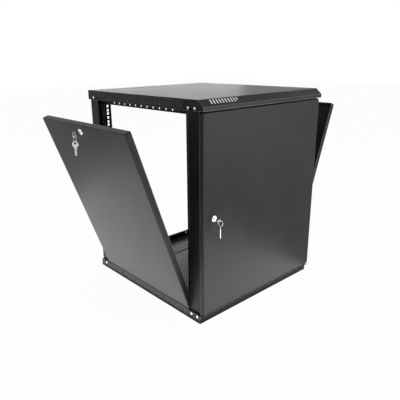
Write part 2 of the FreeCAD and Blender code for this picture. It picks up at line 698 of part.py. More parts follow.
def make_rack_brackets():
    """Z-shaped brackets that hold the rack rails' ends on the depth rails, with their bolts."""
    tin = "dims.frame_sheet"
    front_far = "(dims.front_rack_rail + dims.front_rack_web)"
    rear_far = f"({REAR_RACK_RAIL} - dims.rear_rack_web)"
    front_end = f"({front_far} + {tin} + dims.bracket_tail)"
    rear_end = f"({REAR_WALL} - dims.rear_seat - dims.bracket_tail)"
    rows = (
        # where the leg on the rack rail ends, its length, and where the leg on the depth rail ends
        ("front", 1, front_far, "dims.front_bracket_leg", front_end),
        ("rear", -1, rear_far, "dims.rear_bracket_leg", rear_end),
    )
    levels = (
        ("top", SEAT_FACE, f"({RACK_HIGH} - dims.bracket_height)"),
        ("bottom", f"({SEAT_FACE} + {tin})", RACK_LOW),
    )
    brackets = []
    bolts = []
    for side, name in ((-1, "left"), (1, "right")):
        for row, into, far, leg, tail_end in rows:
            for level, web, low in levels:
                start = f"({far} - {into} * {leg})"
                bend = f"({far} + {into} * {tin})"
                section = [
                    (f"{RACK_WEB} - {tin}", start),
                    (RACK_WEB, start),
                    (RACK_WEB, bend),
                    (f"{web} + {tin}", bend),
                    (f"{web} + {tin}", tail_end),
                    (web, tail_end),
                    (web, far),
                    (f"{RACK_WEB} - {tin}", far),
                ]
                points = [(across(side, a), along(b)) for a, b in section]
                label = f"{name}_{row}_{level}"
                brackets.append(bracket_body(f"bracket_{label}", points, low))
                spots = (
                    (f"{RACK_WEB} + {tin}", f"({start} + {into} * {leg} / 2)"),
                    (f"{web} + {tin}", f"({tail_end} - {into} * dims.bracket_tail / 2)"),
                )
                for inset, distance in spots:
                    place = (across(side, inset), along(distance), f"{low} + dims.bracket_height / 2")
                    bolts.append(hexagon_bolt(f"bolt_{label}", place, TURN["+X" if side < 0 else "-X"]))
    group("rack_rail_brackets", brackets)
    group("rack_rail_bolts", bolts)


def bracket_body(name, points, low):
    """One bracket, as a body of its own inside the brackets' group."""
    body = doc.addObject("PartDesign::Body", name)
    add(body, "XY", low, f"{low} + dims.bracket_height", points)
    return body


def hexagon_bolt(name, place, turn):
    """The head of a bolt that points along the axis that a turn gives."""
    head = doc.addObject("Part::Prism", name)
    head.Polygon = 6
    head.setExpression("Circumradius", "dims.bolt_head / sqrt(3)")
    head.setExpression("Height", "dims.bolt_head_height")
    return stand(head, place, turn)


def make_case_screws():
    """The screws that hold roof and base to the posts."""
    screws = []
    places = roof_screws("front", "rear") + base_screws("front", "rear")
    for side, head, shank in ((-1, "-X", "+X"), (1, "+X", "-X")):
        for number, (distance, height) in enumerate(places):
            spot = (across(side, "0"), along(distance), height)
            name = f"case_screw_{number}"
            cap = cylinder(name + "_head", "dims.screw_head", "dims.screw_head_height", spot, TURN[head])
            rod = cylinder(name + "_shank", "dims.screw_shank", "dims.screw_length", spot, TURN[shank])
            screws.append(fuse(name, [cap, rod]))
    group("case_screws", screws)


def make_wall_rails():
    """Shallow channels at the back, through which the wall bolts pass."""
    tin = "dims.skin"
    rear_skirt_inside = f"{HALF_DEPTH} - dims.skin"
    low_rail = "dims.wall_hole_low - dims.wall_rail_height / 2"
    for label, front, back, low, high, hole in (
        (
            "wall_rail_bottom", along(BASE_BACK), HALF_DEPTH,
            low_rail, f"{low_rail} + dims.wall_rail_height", "dims.wall_hole_low",
        ),
        (
            "wall_rail_top", along(POST_BACK), rear_skirt_inside,
            f"{WALL_HOLE_HIGH} - dims.wall_rail_height / 2", ROOF_UNDER, WALL_HOLE_HIGH,
        ),
    ):
        body = new_body(label)
        section = [
            (front, low),
            (back, low),
            (back, high),
            (front, high),
            (front, f"{high} - {tin}"),
            (f"{back} - {tin}", f"{high} - {tin}"),
            (f"{back} - {tin}", f"{low} + {tin}"),
            (front, f"{low} + {tin}"),
        ]
        add(body, "YZ", "-dims.wall_rail_length / 2", "dims.wall_rail_length / 2", section)
        wall_holes(body, f"{back} - {tin}", back, hole)


# ---------------------------------------------------------------- door and side panels

def make_door():
    """A folded pan with its hinge pins, and two channels that stiffen it."""
    door = new_body("door_panel")
    left = across(-1, "dims.door_side_gap")
    right = across(1, "dims.door_side_gap")
    face = along("dims.door_front")
    back = along(DOOR_BACK)
    add(door, "XZ", face, back, box(left, right, "dims.door_bottom", DOOR_TOP))
    round_edges(door, runs_along(FreeCAD.Vector(0, 1, 0)), "dims.door_corner")
    round_edges(door, lies_at("Y", face), "dims.door_fold")
    hollow(door, lies_at("Y", back), "dims.skin")
    lock = (across(-1, "dims.door_lock_inset"), "dims.door_lock_height")
    cut(door, "XZ", face, f"{face} + dims.skin", circle=(lock, "dims.lock_barrel"))
    hinge = (across(1, "dims.hinge_inset"), along("dims.hinge_front"))
    cut(door, "XY", f"{DOOR_TOP} - dims.door_corner", DOOR_TOP, circle=(hinge, "dims.hinge_pin"))
    low_corner = "dims.door_bottom + dims.door_corner"
    cut(door, "XY", "dims.door_bottom", low_corner, circle=(hinge, "dims.hinge_pin"))
    for side, name in ((-1, "left"), (1, "right")):
        channel = new_body(f"door_stiffener_{name}")
        middle = f"{side} * dims.stiffener_spacing / 2"
        near = f"{face} + dims.skin"
        far = f"{near} + dims.stiffener_depth"
        half = "dims.stiffener_width / 2"
        section = [
            (f"{middle} - {half}", near),
            (f"{middle} - {half}", far),
            (f"{middle} + {half}", far),
            (f"{middle} + {half}", near),
            (f"{middle} + {half} - dims.skin", near),
            (f"{middle} + {half} - dims.skin", f"{far} - dims.skin"),
            (f"{middle} - {half} + dims.skin", f"{far} - dims.skin"),
            (f"{middle} - {half} + dims.skin", near),
        ]
        low = "dims.door_bottom + dims.stiffener_end"
        add(channel, "XY", low, f"{DOOR_TOP} - dims.stiffener_end", section)


def make_hinges():
    """Pins in the door's upper and lower edges, and the plates that they turn in."""
    spot = (across(1, "dims.hinge_inset"), along("dims.hinge_front"))
    tail = "(dims.door_corner + dims.skin)"
    top_plate = f"({DOOR_TOP} + dims.hinge_gap)"
    low_plate = "(dims.door_bottom - dims.hinge_gap - dims.hinge_plate)"
    for label, low, high in (
        ("door_hinge_pin_top", f"{DOOR_TOP} - {tail}", f"{top_plate} + dims.hinge_plate"),
        ("door_hinge_pin_bottom", low_plate, f"dims.door_bottom + {tail}"),
    ):
        pin = new_body(label)
        add(pin, "XY", low, high, circle=(spot, "dims.hinge_pin"))
    inner = across(1, "dims.door_side_gap + dims.hinge_bracket_width")
    outer = across(1, "dims.door_side_gap")
    tip = along("dims.hinge_front - dims.hinge_pin")
    for label, plate, tab_low, tab_high, seat in (
        ("door_hinge_bracket_top", top_plate, top_plate, f"{top_plate} + dims.hinge_tab", POST_FRONT),
        (
            "door_hinge_bracket_bottom", low_plate, f"{low_plate} + dims.hinge_plate - dims.hinge_tab",
            f"{low_plate} + dims.hinge_plate", "dims.base_front",
        ),
    ):
        bracket = new_body(label)
        rear = along(seat)
        top = f"{plate} + dims.hinge_plate"
        add(bracket, "XY", plate, top, box(inner, outer, tip, rear))
        tab = box(f"{rear} - dims.hinge_plate", rear, tab_low, tab_high)
        add(bracket, "YZ", inner, outer, tab)
        cut(bracket, "XY", plate, top, circle=(spot, "dims.hinge_pin + 2 * dims.running_play"))


def lean_angle():
    """How far a panel tips out before its face meets the base skirt's upper inner edge."""
    run = value(f"{PIVOT_IN} - dims.skin")
    rise = value(f"dims.base_side_skirt - {PIVOT_UP}")
    reach = value("dims.pivot_inset + dims.lean_gap")
    return math.degrees(math.acos(reach / math.hypot(run, rise)) - math.atan2(rise, run))


def leaning(side):
    """The placement that tips a closed panel, and all it carries, out about its pivot line."""
    pivot = FreeCAD.Vector(value(across(side, PIVOT_IN)), 0, value(PIVOT_UP))
    turn = FreeCAD.Rotation(FreeCAD.Vector(0, side, 0), lean_angle())
    return FreeCAD.Placement(pivot - turn.multVec(pivot), turn)


def make_side_panel(side, name):
    """A folded pan, open to the inside, with a pivot pin in its front and rear edges."""
    body = new_body(f"{name}_panel")
    face = across(side, "dims.side_inset")
    back = across(side, "dims.side_inset + dims.panel_depth")
    low, high = (back, face)[::side]
    front = along(PANEL_FRONT)
    rear = along(PANEL_BACK)
    add(body, "YZ", low, high, box(front, rear, "dims.panel_bottom", PANEL_TOP))
    round_edges(body, runs_along(FreeCAD.Vector(1, 0, 0)), "dims.panel_corner")
    round_edges(body, lies_at("X", face), "dims.panel_fold")
    hollow(body, lies_at("X", back), "dims.skin")
    sheet_in = across(side, "dims.side_inset + dims.skin")
    low, high = (sheet_in, face)[::side]
    lock = (f"({front} + {rear}) / 2", f"{PANEL_TOP} - dims.panel_lock_drop")
    cut(body, "YZ", low, high, circle=(lock, "dims.lock_barrel"))
    pivot = (across(side, PIVOT_IN), PIVOT_UP)
    cut(body, "XZ", front, f"{front} + dims.skin", circle=(pivot, "dims.pivot_pin"))
    cut(body, "XZ", f"{rear} - dims.skin", rear, circle=(pivot, "dims.pivot_pin"))
    body.Placement = leaning(side)

    tail = "dims.pivot_pin"
    front_from = along(f"{FRONT_WALL} - dims.frame_sheet")
    front_pin = cylinder(
        f"{name}_front_pin", "dims.pivot_pin",
        f"dims.frame_sheet + dims.panel_gap + dims.skin + {tail}",
        (pivot[0], front_from, pivot[1]), TURN["+Y"],
    )
    rear_from = along(f"{REAR_WALL} + dims.frame_sheet")
    rear_pin = cylinder(
        f"{name}_rear_pin", "dims.pivot_pin",
        f"dims.frame_sheet + dims.panel_gap + dims.skin + {tail}",
        (pivot[0], rear_from, pivot[1]), TURN["-Y"],
    )
    group(f"{name}_panel_pins", [front_pin, rear_pin])


# ---------------------------------------------------------------- locks and keys

def make_lock(prefix, reach, place, roll):
    """Rim and barrel, nut, turning plug, cam and key.  The lock's own frame has its outer face at
    y = 0 and its key towards -Y; place sets it in its sheet, and roll turns what the key turns."""
    about_axis = FreeCAD.Rotation(FreeCAD.Vector(0, 1, 0), roll)
    turned = place.multiply(FreeCAD.Placement(FreeCAD.Vector(), about_axis))
    centre = ("0", "0")
    bore = "dims.lock_plug + 2 * dims.running_play"

    body = new_body(f"{prefix}_lock_body")
    add(body, "XZ", "-dims.lock_head_height", "0", circle=(centre, "dims.lock_head"))
    add(body, "XZ", "0", "dims.lock_barrel_length", circle=(centre, "dims.lock_barrel"))
    cut(body, "XZ", "-dims.lock_head_height", "dims.lock_barrel_length", circle=(centre, bore))
    body.Placement = place

    nut = new_body(f"{prefix}_lock_nut")
    nut_far = "dims.skin + dims.lock_nut_height"
    add(nut, "XZ", "dims.skin", nut_far, hexagon("0", "dims.lock_nut"))
    cut(nut, "XZ", "dims.skin", nut_far, circle=(centre, "dims.lock_barrel"))
    nut.Placement = place

    plug = new_body(f"{prefix}_lock_plug")
    front = "-dims.lock_head_height"
    add(plug, "XZ", front, reach, circle=(centre, "dims.lock_plug"))
    keyway = box("-dims.key_blade / 2", "dims.key_blade / 2", "-dims.key_sheet / 2", "dims.key_sheet / 2")
    cut(plug, "XZ", front, "dims.key_insert", keyway)
    plug.Placement = turned

    cam = new_body(f"{prefix}_lock_cam")
    half = "dims.cam_width / 2"
    arm = [
        (f"-{half}", f"-{half}"),
        (half, f"-{half}"),
        (half, f"dims.cam_length - {half}"),
        (f"{half} / 2", "dims.cam_length"),
        (f"-{half} / 2", "dims.cam_length"),
        (f"-{half}", f"dims.cam_length - {half}"),
    ]
    cam_far = f"{reach} + dims.frame_sheet"
    add(cam, "XZ", reach, cam_far, arm)
    add(cam, "XZ", cam_far, f"{cam_far} + dims.frame_sheet", circle=(centre, "dims.screw_head"))
    cam.Placement = turned

    key = new_body(f"{prefix}_key")
    draw_key(key, "-dims.key_reach")
    key.Placement = turned


def draw_key(body, end):
    """A flat key in the XY plane: its bow starts at end, and its blade points along +Y."""
    half = "dims.key_sheet / 2"
    wide = "dims.key_blade / 2"
    bite = f"{wide} - dims.key_sheet"
    middle = f"{end} + dims.key_bow / 2"
    hole = f"{end} + dims.bow_rim + dims.bow_hole / 2"
    tip = f"{end} + dims.key_reach + dims.key_insert"
    add(body, "XY", f"-{half}", half, circle=(("0", middle), "dims.key_bow"))
    blade = [
        (f"-{wide}", middle),
        (wide, middle),
        (wide, f"{tip} - dims.key_insert"),
        (bite, f"{tip} - 0.8 * dims.key_insert"),
        (wide, f"{tip} - 0.6 * dims.key_insert"),
        (bite, f"{tip} - 0.4 * dims.key_insert"),
        (wide, f"{tip} - 0.2 * dims.key_insert"),
        (bite, tip),
        (f"-{wide}", tip),
    ]
    add(body, "XY", f"-{half}", half, blade)
    cut(body, "XY", f"-{half}", half, circle=(("0", hole), "dims.bow_hole"))


def make_key_ring(prefix, hang, turn):
    """A ring that hangs in a bow's hole; the spare key hangs on it, turned about the vertical."""
    ring = new_body(f"{prefix}_key_ring")
    section = new_sketch(ring, "XZ", "0")
    draw_polygon(section, hexagon("dims.ring_radius", "dims.ring_wire"))
    turned = ring.newObject("PartDesign::Revolution", "turned")
    turned.Profile = section
    turned.ReferenceAxis = (origin_plane(ring, "Z_Axis"), [""])
    turned.Angle = 360
    upright = FreeCAD.Rotation(FreeCAD.Vector(0, 1, 0), 90)
    ring.Placement = FreeCAD.Placement(hang - FreeCAD.Vector(0, 0, value("dims.ring_radius")), upright)

    spare = new_body(f"{prefix}_spare_key")
    draw_key(spare, "0")
    drop = value("2 * dims.ring_radius - dims.ring_wire / 2 - dims.ring_gap - dims.bow_rim")
    down = FreeCAD.Rotation(FreeCAD.Vector(1, 0, 0), -90)
    hanging = FreeCAD.Rotation(FreeCAD.Vector(0, 0, 1), turn).multiply(down)
    spare.Placement = FreeCAD.Placement(hang - FreeCAD.Vector(0, 0, drop), hanging)


def make_door_lock():
    """The lock at the door's free edge; its key's bow lies level."""
    x = value(across(-1, "dims.door_lock_inset"))
    y = value(along("dims.door_front"))
    z = value("dims.door_lock_height")
    place = FreeCAD.Placement(FreeCAD.Vector(x, y, z), FreeCAD.Rotation())
    make_lock("door", "dims.door_cam_reach", place, 0)
    rim = FreeCAD.Vector(
        0,
        value("dims.bow_rim / 2 - dims.key_reach"),
        value("dims.key_sheet / 2 + dims.ring_gap + dims.ring_wire / 2"),
    )
    make_key_ring("door", place.multVec(rim), value("dims.door_spare_turn"))


def make_panel_lock(side, name):
    """The lock in the middle of a panel's upper edge; its key's bow stands upright."""
    x = value(across(side, "dims.side_inset"))
    y = value(f"({along(PANEL_FRONT)} + {along(PANEL_BACK)}) / 2")
    z = value(f"{PANEL_TOP} - dims.panel_lock_drop")
    outward = FreeCAD.Rotation(FreeCAD.Vector(0, 0, 1), 90 * side)
    place = leaning(side).multiply(FreeCAD.Placement(FreeCAD.Vector(x, y, z), outward))
    make_lock(name, "dims.panel_cam_reach", place, 90)
    hole = place.multVec(FreeCAD.Vector(0, value("dims.bow_rim + dims.bow_hole / 2 - dims.key_reach"), 0))
    seat = value("dims.bow_hole / 2 - dims.ring_gap - dims.ring_wire / 2")
    make_key_ring(name, hole - FreeCAD.Vector(0, 0, seat), side * value("dims.panel_spare_turn"))


def make_earth_studs():
    """Threaded studs for the earth wires, on the floor sheet and inside the door."""
    floor = new_body("earth_stud_cabinet")
    spot = ("-dims.entry_width / 2 - dims.entry_back", along(f"{BASE_BACK} - dims.entry_back"))
    add(floor, "XY", FLOOR_TOP, f"{FLOOR_TOP} + dims.stud_length", circle=(spot, "dims.stud_size"))
    leaf = new_body("earth_stud_door")
    spot = (across(1, RACK_LINE), "dims.door_bottom + dims.stiffener_end")
    near = along("dims.door_front + dims.skin")
    add(leaf, "XZ", near, f"{near} + dims.stud_length", circle=(spot, "dims.stud_size"))


# ---------------------------------------------------------------- the cabinet

make_roof()
make_base()
make_cross_rails()
make_wall_rails()
for side, name in ((-1, "left"), (1, "right")):
    make_front_post(side, name)
    make_rear_post(side, name)
    make_depth_rails(side, name)
    make_rack_rail(side, name, "front", "dims.front_rack_rail", "dims.front_rack_web", 1)
    make_rack_rail(side, name, "rear", REAR_RACK_RAIL, "dims.rear_rack_web", -1)
make_rack_brackets()
make_case_screws()
make_door()
make_hinges()
make_door_lock()
for side, name in ((-1, "left"), (1, "right")):
    make_side_panel(side, name)
    make_panel_lock(side, name)
make_earth_studs()
doc.recompute()

faults = [item.Name for item in doc.Objects if {"Invalid", "Error"} & set(item.State)]
faults += [piece.Label for piece in pieces if piece.Shape.isNull() or not piece.Shape.isValid()]
if faults:
    raise RuntimeError(f"these did not build: {faults}")

os.makedirs("parts", exist_ok=True)
for piece in pieces:
    piece.Shape.exportStep(f"parts/{piece.Label}.step")
print(f"{len(pieces)} pieces, panels lean {lean_angle():.2f} degrees")
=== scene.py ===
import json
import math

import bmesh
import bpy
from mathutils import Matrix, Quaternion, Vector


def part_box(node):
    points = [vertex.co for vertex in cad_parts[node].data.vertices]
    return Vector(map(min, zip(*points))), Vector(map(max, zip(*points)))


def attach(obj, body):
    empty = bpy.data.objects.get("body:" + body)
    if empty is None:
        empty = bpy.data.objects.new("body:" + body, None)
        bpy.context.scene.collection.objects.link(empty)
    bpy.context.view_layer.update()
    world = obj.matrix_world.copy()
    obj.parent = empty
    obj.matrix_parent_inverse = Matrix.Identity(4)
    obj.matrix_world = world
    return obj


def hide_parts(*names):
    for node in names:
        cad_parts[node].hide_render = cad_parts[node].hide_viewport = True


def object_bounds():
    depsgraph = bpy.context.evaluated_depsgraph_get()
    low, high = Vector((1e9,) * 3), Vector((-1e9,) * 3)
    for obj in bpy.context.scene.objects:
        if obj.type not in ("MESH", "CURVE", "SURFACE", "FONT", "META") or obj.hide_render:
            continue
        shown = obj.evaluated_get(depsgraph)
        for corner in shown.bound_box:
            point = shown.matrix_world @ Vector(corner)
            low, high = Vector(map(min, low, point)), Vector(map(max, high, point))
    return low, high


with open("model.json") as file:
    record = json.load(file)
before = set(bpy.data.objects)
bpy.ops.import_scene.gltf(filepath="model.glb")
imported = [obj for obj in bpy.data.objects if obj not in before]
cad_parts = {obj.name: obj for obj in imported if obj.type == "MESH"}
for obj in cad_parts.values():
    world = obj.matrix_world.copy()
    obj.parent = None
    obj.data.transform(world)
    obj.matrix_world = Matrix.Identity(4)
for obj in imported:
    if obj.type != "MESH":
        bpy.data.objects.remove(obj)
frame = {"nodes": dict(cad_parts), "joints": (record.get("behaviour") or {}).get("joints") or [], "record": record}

# %% [markdown]
# # A wall mount network cabinet
# The cabinet is folded steel sheet under a satin black powder coat: a roof pan, a base pan, four
# posts, a hinged door and two side panels that tip out.  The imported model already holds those
# sheets, so this script dresses them.  It gives every sheet its coat, moves a few edges of door
# and roof to where they belong, and replaces the small bright parts, which are the screws, locks,
# keys and rings, by finer ones.

MM = 0.001
scene = bpy.context.scene
cad_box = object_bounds()
print("model box", cad_box)


def linked_object(name, data):
    """A new object in the scene that shows the data of a mesh, curve, lamp or camera."""
    thing = bpy.data.objects.new(name, data)
    scene.collection.objects.link(thing)
    return thing

# %% [markdown]
# ## The camera
# The camera stands a little above the roof and off the corner where door and side panel meet, so
# that all three show.  Three angles say how it looks: azimuth round the object, elevation over the
# floor, and a slight roll.  `to_track_quat` turns the camera's back towards the line of sight, and
# the roll is a turn about that same line.

# %% Camera
AZIMUTH = math.radians(-41.37)
ELEVATION = math.radians(18.01)
ROLL = math.radians(-0.83)
CAMERA_PLACE = Vector((-1.1800, -1.2590, 0.8614))
LENS = 39.98
SHIFT = (0.0266, 0.0015)


def line_of_sight(azimuth, elevation):
    """The direction from the object to the camera."""
    level = math.cos(elevation)
    return Vector((math.sin(azimuth) * level, -math.cos(azimuth) * level, math.sin(elevation)))


def make_camera():
    data = bpy.data.cameras.new("camera")
    data.lens = LENS
    data.shift_x, data.shift_y = SHIFT
    camera = linked_object("camera", data)
    aim = line_of_sight(AZIMUTH, ELEVATION).to_track_quat("Z", "Y")
    camera.rotation_mode = "QUATERNION"
    camera.rotation_quaternion = aim @ Quaternion((0, 0, 1), ROLL)
    camera.location = CAMERA_PLACE
    scene.camera = camera


make_camera()
print("camera at", tuple(CAMERA_PLACE), "with a", LENS, "mm lens")

# %% [markdown]
# ## Shader maths as Python expressions
# A powder coat needs a little arithmetic: a noise, scaled and added to a base value.  Wiring Math
# nodes by hand hides that arithmetic, so a small class wraps a socket and lets `+`, `-` and `*`
# add the nodes.  `Graph.node` makes every other node: its type, its settings first, then inputs.

# %% Sockets and graphs
class Sock:
    """A socket of a node tree that takes part in arithmetic."""

    def __init__(self, graph, socket):
        self.graph = graph
        self.socket = socket

    def maths(self, operation, first, second):
        return self.graph.node("ShaderNodeMath", {"operation": operation}, {0: first, 1: second})

    def __add__(self, other):
        return self.maths("ADD", self, other)

    def __sub__(self, other):
        return self.maths("SUBTRACT", self, other)

    def __rsub__(self, other):
        return self.maths("SUBTRACT", other, self)

    def __mul__(self, other):
        return self.maths("MULTIPLY", self, other)

    __radd__ = __add__
    __rmul__ = __mul__


class Graph:
    """The node tree of one material or world."""

    def __init__(self, tree):
        self.tree = tree
        tree.nodes.clear()

    def node(self, kind, settings=None, inputs=None, output=0):
        made = self.tree.nodes.new(kind)
        for name, setting in (settings or {}).items():
            if name == "stops":
                for stop, (place, colour) in zip(made.color_ramp.elements, setting):
                    stop.position = place
                    stop.color = (*colour, 1)
            else:
                setattr(made, name, setting)
        for name, source in (inputs or {}).items():
            if isinstance(source, Sock):
                self.tree.links.new(source.socket, made.inputs[name])
            else:
                made.inputs[name].default_value = source
        return Sock(self, made.outputs[output]) if made.outputs else made


# %% [markdown]
# ## Small shader helpers
# Paint and metal share a few steps: a place on the object to measure from, a noise, a mix of two
# colours and the output.  Places are object coordinates, so a pattern keeps its real size.

# %% Helpers for every finish
def new_material(name):
    material = bpy.data.materials.new(name)
    material.use_nodes = True
    return material, Graph(material.node_tree)


def finish_material(graph, shader):
    graph.node("ShaderNodeOutputMaterial", inputs={"Surface": shader})


def object_place(graph):
    return graph.node("ShaderNodeTexCoord", output="Object")


def noise(graph, place, scale):
    """A soft noise between 0 and 1; scale is the number of blotches to a metre."""
    settings = {"noise_dimensions": "3D"}
    inputs = {"Vector": place, "Scale": scale, "Detail": 2.0}
    return graph.node("ShaderNodeTexNoise", settings, inputs, "Fac")


def ramp(graph, value, stops):
    """A colour that follows a value through stops of (place, colour)."""
    return graph.node("ShaderNodeValToRGB", {"stops": stops}, {"Fac": value}, "Color")


def mixed_colour(graph, share, first, second):
    """A Mix node for colours: share 0 gives the first and 1 the second."""
    settings = {"data_type": "RGBA", "clamp_factor": True}
    return graph.node("ShaderNodeMix", settings, {0: share, 6: first, 7: second}, 2)


def rough_skin(graph, height, strength, depth, edges):
    """A normal with bumps of a given depth on top of the rounded edges."""
    inputs = {"Strength": strength, "Distance": depth, "Height": height, "Normal": edges}
    return graph.node("ShaderNodeBump", inputs=inputs)


# %% [markdown]
# ## Powder coat
# Powder coat is sprayed dry and melted on, which leaves a fine orange peel: soft bumps about a
# millimetre across.  The skin is nearly black, with a satin sheen that brightens at a flat angle.
# Folded sheet has round edges, and a Bevel node gives each edge its radius in the shading alone.
# The melted powder also grows thinner over an edge, which leaves a smoother line there.  A paler
# colour is painted along that line too, as a painted highlight: it is where the rounded normal
# leans away from the face's own normal.

# %% Painted sheet
COAT_IOR = 1.22
MOTTLE_SCALE = 9.0
MOTTLE_TONES = (0.85, 1.15)
PEEL_SCALE = 900.0
PEEL_DEPTH = 0.1 * MM
FOLD_RADIUS = 2.2 * MM
LEAN_GAIN = 14.0
# The colour of the painted highlight along the folds.
FOLD_HIGHLIGHT_PAINT = (0.22, 0.22, 0.225, 1.0)


def leaning_normal(graph, rounded):
    """Zero on flat sheet, rising to one on the middle of a fold."""
    flat = graph.node("ShaderNodeNewGeometry", output="Normal")
    settings = {"operation": "DOT_PRODUCT"}
    together = graph.node("ShaderNodeVectorMath", settings, {0: rounded, 1: flat}, "Value")
    return (1.0 - together) * LEAN_GAIN


def powder_coat(name, tone, roughness):
    """Satin black coat of a given tone and roughness, smoother along its folds, with a painted highlight there."""
    material, graph = new_material(name)
    place = object_place(graph)
    mottle = noise(graph, place, MOTTLE_SCALE)
    peel = noise(graph, place, PEEL_SCALE)
    deep, light = ([channel * share for channel in tone] for share in MOTTLE_TONES)
    flat_colour = ramp(graph, mottle, [(0.35, deep), (0.65, light)])
    rounded = graph.node("ShaderNodeBevel", {"samples": 6}, {"Radius": FOLD_RADIUS})
    fold_thinning_and_highlight = leaning_normal(graph, rounded)
    # The paler colour mixed in along the folds is a painted highlight; the lower roughness there is the thinner
    # coat.
    inputs = {
        "Base Color": mixed_colour(graph, fold_thinning_and_highlight, flat_colour, FOLD_HIGHLIGHT_PAINT),
        "Roughness": roughness + 0.06 * (mottle - 0.5) - 0.08 * fold_thinning_and_highlight,
        "IOR": COAT_IOR,
        "Normal": rough_skin(graph, peel, 0.12, PEEL_DEPTH, rounded),
    }
    finish_material(graph, graph.node("ShaderNodeBsdfPrincipled", inputs=inputs))
    return material


# %% [markdown]
# ## Bare metals
# The screws and nuts are zinc plated, the locks are chromed, and the keys are nickel plated.  All
# three are the metallic shader.  They differ in colour and in how rough they are: chrome is
# smooth, zinc is cloudy, and nickel is finely scratched.

# %% Plated metal
CLOUD_SCALE = 120.0
SCRATCH_SCALE = 1500.0
SCRATCH_DEPTH = 0.05 * MM
EDGE_RADIUS = 0.3 * MM


def plated(name, tone, roughness, cloud, grain):
    """Plated metal: cloud varies the roughness, grain is how strongly the scratches show."""
    material, graph = new_material(name)
    place = object_place(graph)
    patches = noise(graph, place, CLOUD_SCALE)
    scratches = noise(graph, place, SCRATCH_SCALE)
    dull = [channel * 0.8 for channel in tone]
    edges = graph.node("ShaderNodeBevel", {"samples": 4}, {"Radius": EDGE_RADIUS})
    inputs = {
        "Base Color": ramp(graph, patches, [(0.3, dull), (0.7, tone)]),
        "Metallic": 1.0,
        "Roughness": roughness + cloud * (patches - 0.5),
        "Normal": rough_skin(graph, scratches, grain, SCRATCH_DEPTH, edges),
    }
    finish_material(graph, graph.node("ShaderNodeBsdfPrincipled", inputs=inputs))
    return material


# %% The five finishes
FINISHES = {
    "powder_coat": powder_coat("powder_coat", (0.010, 0.010, 0.0105), 0.42),
    # frame_coat is the panels' black made darker: painted shade on the posts and rails, which stand back between
    # door and panels.
    "frame_coat": powder_coat("frame_coat", (0.007, 0.007, 0.0075), 0.46),
    "zinc_steel": plated("zinc_steel", (0.78, 0.79, 0.80), 0.28, 0.15, 0.2),
    "lock_chrome": plated("lock_chrome", (0.86, 0.87, 0.88), 0.10, 0.04, 0.05),
    "key_nickel": plated("key_nickel", (0.66, 0.65, 0.62), 0.26, 0.10, 0.3),
}
print("finishes:", ", ".join(FINISHES))

# %% [markdown]
# ## Each part of the model gets its finish
# The record says which finish every part of the model takes, so one loop dresses them all.

# %% Finishes on the model's parts
slot_of = {part["node"]: part["material_slot"] for part in frame["record"]["subparts"]}
for name, part in frame["nodes"].items():
    for slot in part.material_slots:
        slot.material = FINISHES[slot_of[name]]
print(len(frame["nodes"]), "parts have their finish")

# %% [markdown]
# ## Building small turned and pressed parts
# Screws, nuts and lock rims are turned or pressed round an axis, so most of them come from one
# outline that is swept round it.  Blender's Screw modifier can sweep an outline too.  A few lines
# of bmesh keep every ring of points at hand instead, which the hexagons and threads below need.

# %% Rings of points round an axis
STEPS = 48


def ring_of_points(mesh, radius_at, height_at):
    """Points round +Z; radius_at and height_at give each angle its radius and height."""
    ring = []
    for step in range(STEPS):
        angle = 2 * math.pi * step / STEPS
        radius = radius_at(angle)
        place = (radius * math.cos(angle), radius * math.sin(angle), height_at(angle))
        ring.append(mesh.verts.new(place))
    return ring


def level_ring(mesh, radius, height):
    """A round ring of points at one height."""
    return ring_of_points(mesh, lambda angle: radius, lambda angle: height)


def join_rings(mesh, rings, closed=False):
    """A skin from ring to ring; the last closes on the first, or else both ends get caps."""
    pairs = list(zip(rings, rings[1:]))
    if closed:
        pairs.append((rings[-1], rings[0]))
    for low, high in pairs:
        count = len(low)
        for step in range(count):
            after = (step + 1) % count
            mesh.faces.new((low[step], low[after], high[after], high[step]))
    if not closed:
        mesh.faces.new(list(reversed(rings[0])))
        mesh.faces.new(rings[-1])


def finished_mesh(name, mesh, smooth_below=35.0):
    """Turns the bmesh into mesh data; edges flatter than smooth_below degrees shade smoothly."""
    bmesh.ops.recalc_face_normals(mesh, faces=mesh.faces)
    for face in mesh.faces:
        face.smooth = True
    limit = math.radians(smooth_below)
    for edge in mesh.edges:
        edge.smooth = len(edge.link_faces) == 2 and edge.calc_face_angle() < limit
    data = bpy.data.meshes.new(name)
    mesh.to_mesh(data)
    mesh.free()
    return data


# %% [markdown]
# ## Putting copies where the model has them
# The model keeps all screws of a kind as one part of many solids.  The dressed piece is built the
# same way: one screw is modelled, and a copy of it stands where each solid stood.  `islands` finds
# those solids by walking from point to point along edges.

# %% Islands and copies
def islands(node):
    """The lowest and highest corner of each separate solid in a part of the model."""
    probe = bmesh.new()
    probe.from_mesh(frame["nodes"][node].data)
    bmesh.ops.remove_doubles(probe, verts=probe.verts, dist=0.001 * MM)
    waiting = set(probe.verts)
    boxes = []
    while waiting:
        first = waiting.pop()
        found = [first]
        for vert in found:
            for edge in vert.link_edges:
                other = edge.other_vert(vert)
                if other in waiting:
                    waiting.remove(other)
                    found.append(other)
        low = Vector([min(vert.co[axis] for vert in found) for axis in range(3)])
        high = Vector([max(vert.co[axis] for vert in found) for axis in range(3)])
        boxes.append((low, high))
    probe.free()
    return sorted(boxes, key=lambda corners: tuple(corners[0]))


def pointing(place, direction, spin=0.0):
    """A matrix that stands a part at place with its +Z along direction, spun about it."""
    aim = Vector(direction).to_track_quat("Z", "Y").to_matrix().to_4x4()
    return Matrix.Translation(place) @ aim @ Matrix.Rotation(spin, 4, "Z")


def placed(source, place):
    """A copy of a mesh, set by a matrix."""
    data = source.copy()
    data.transform(place)
    return data


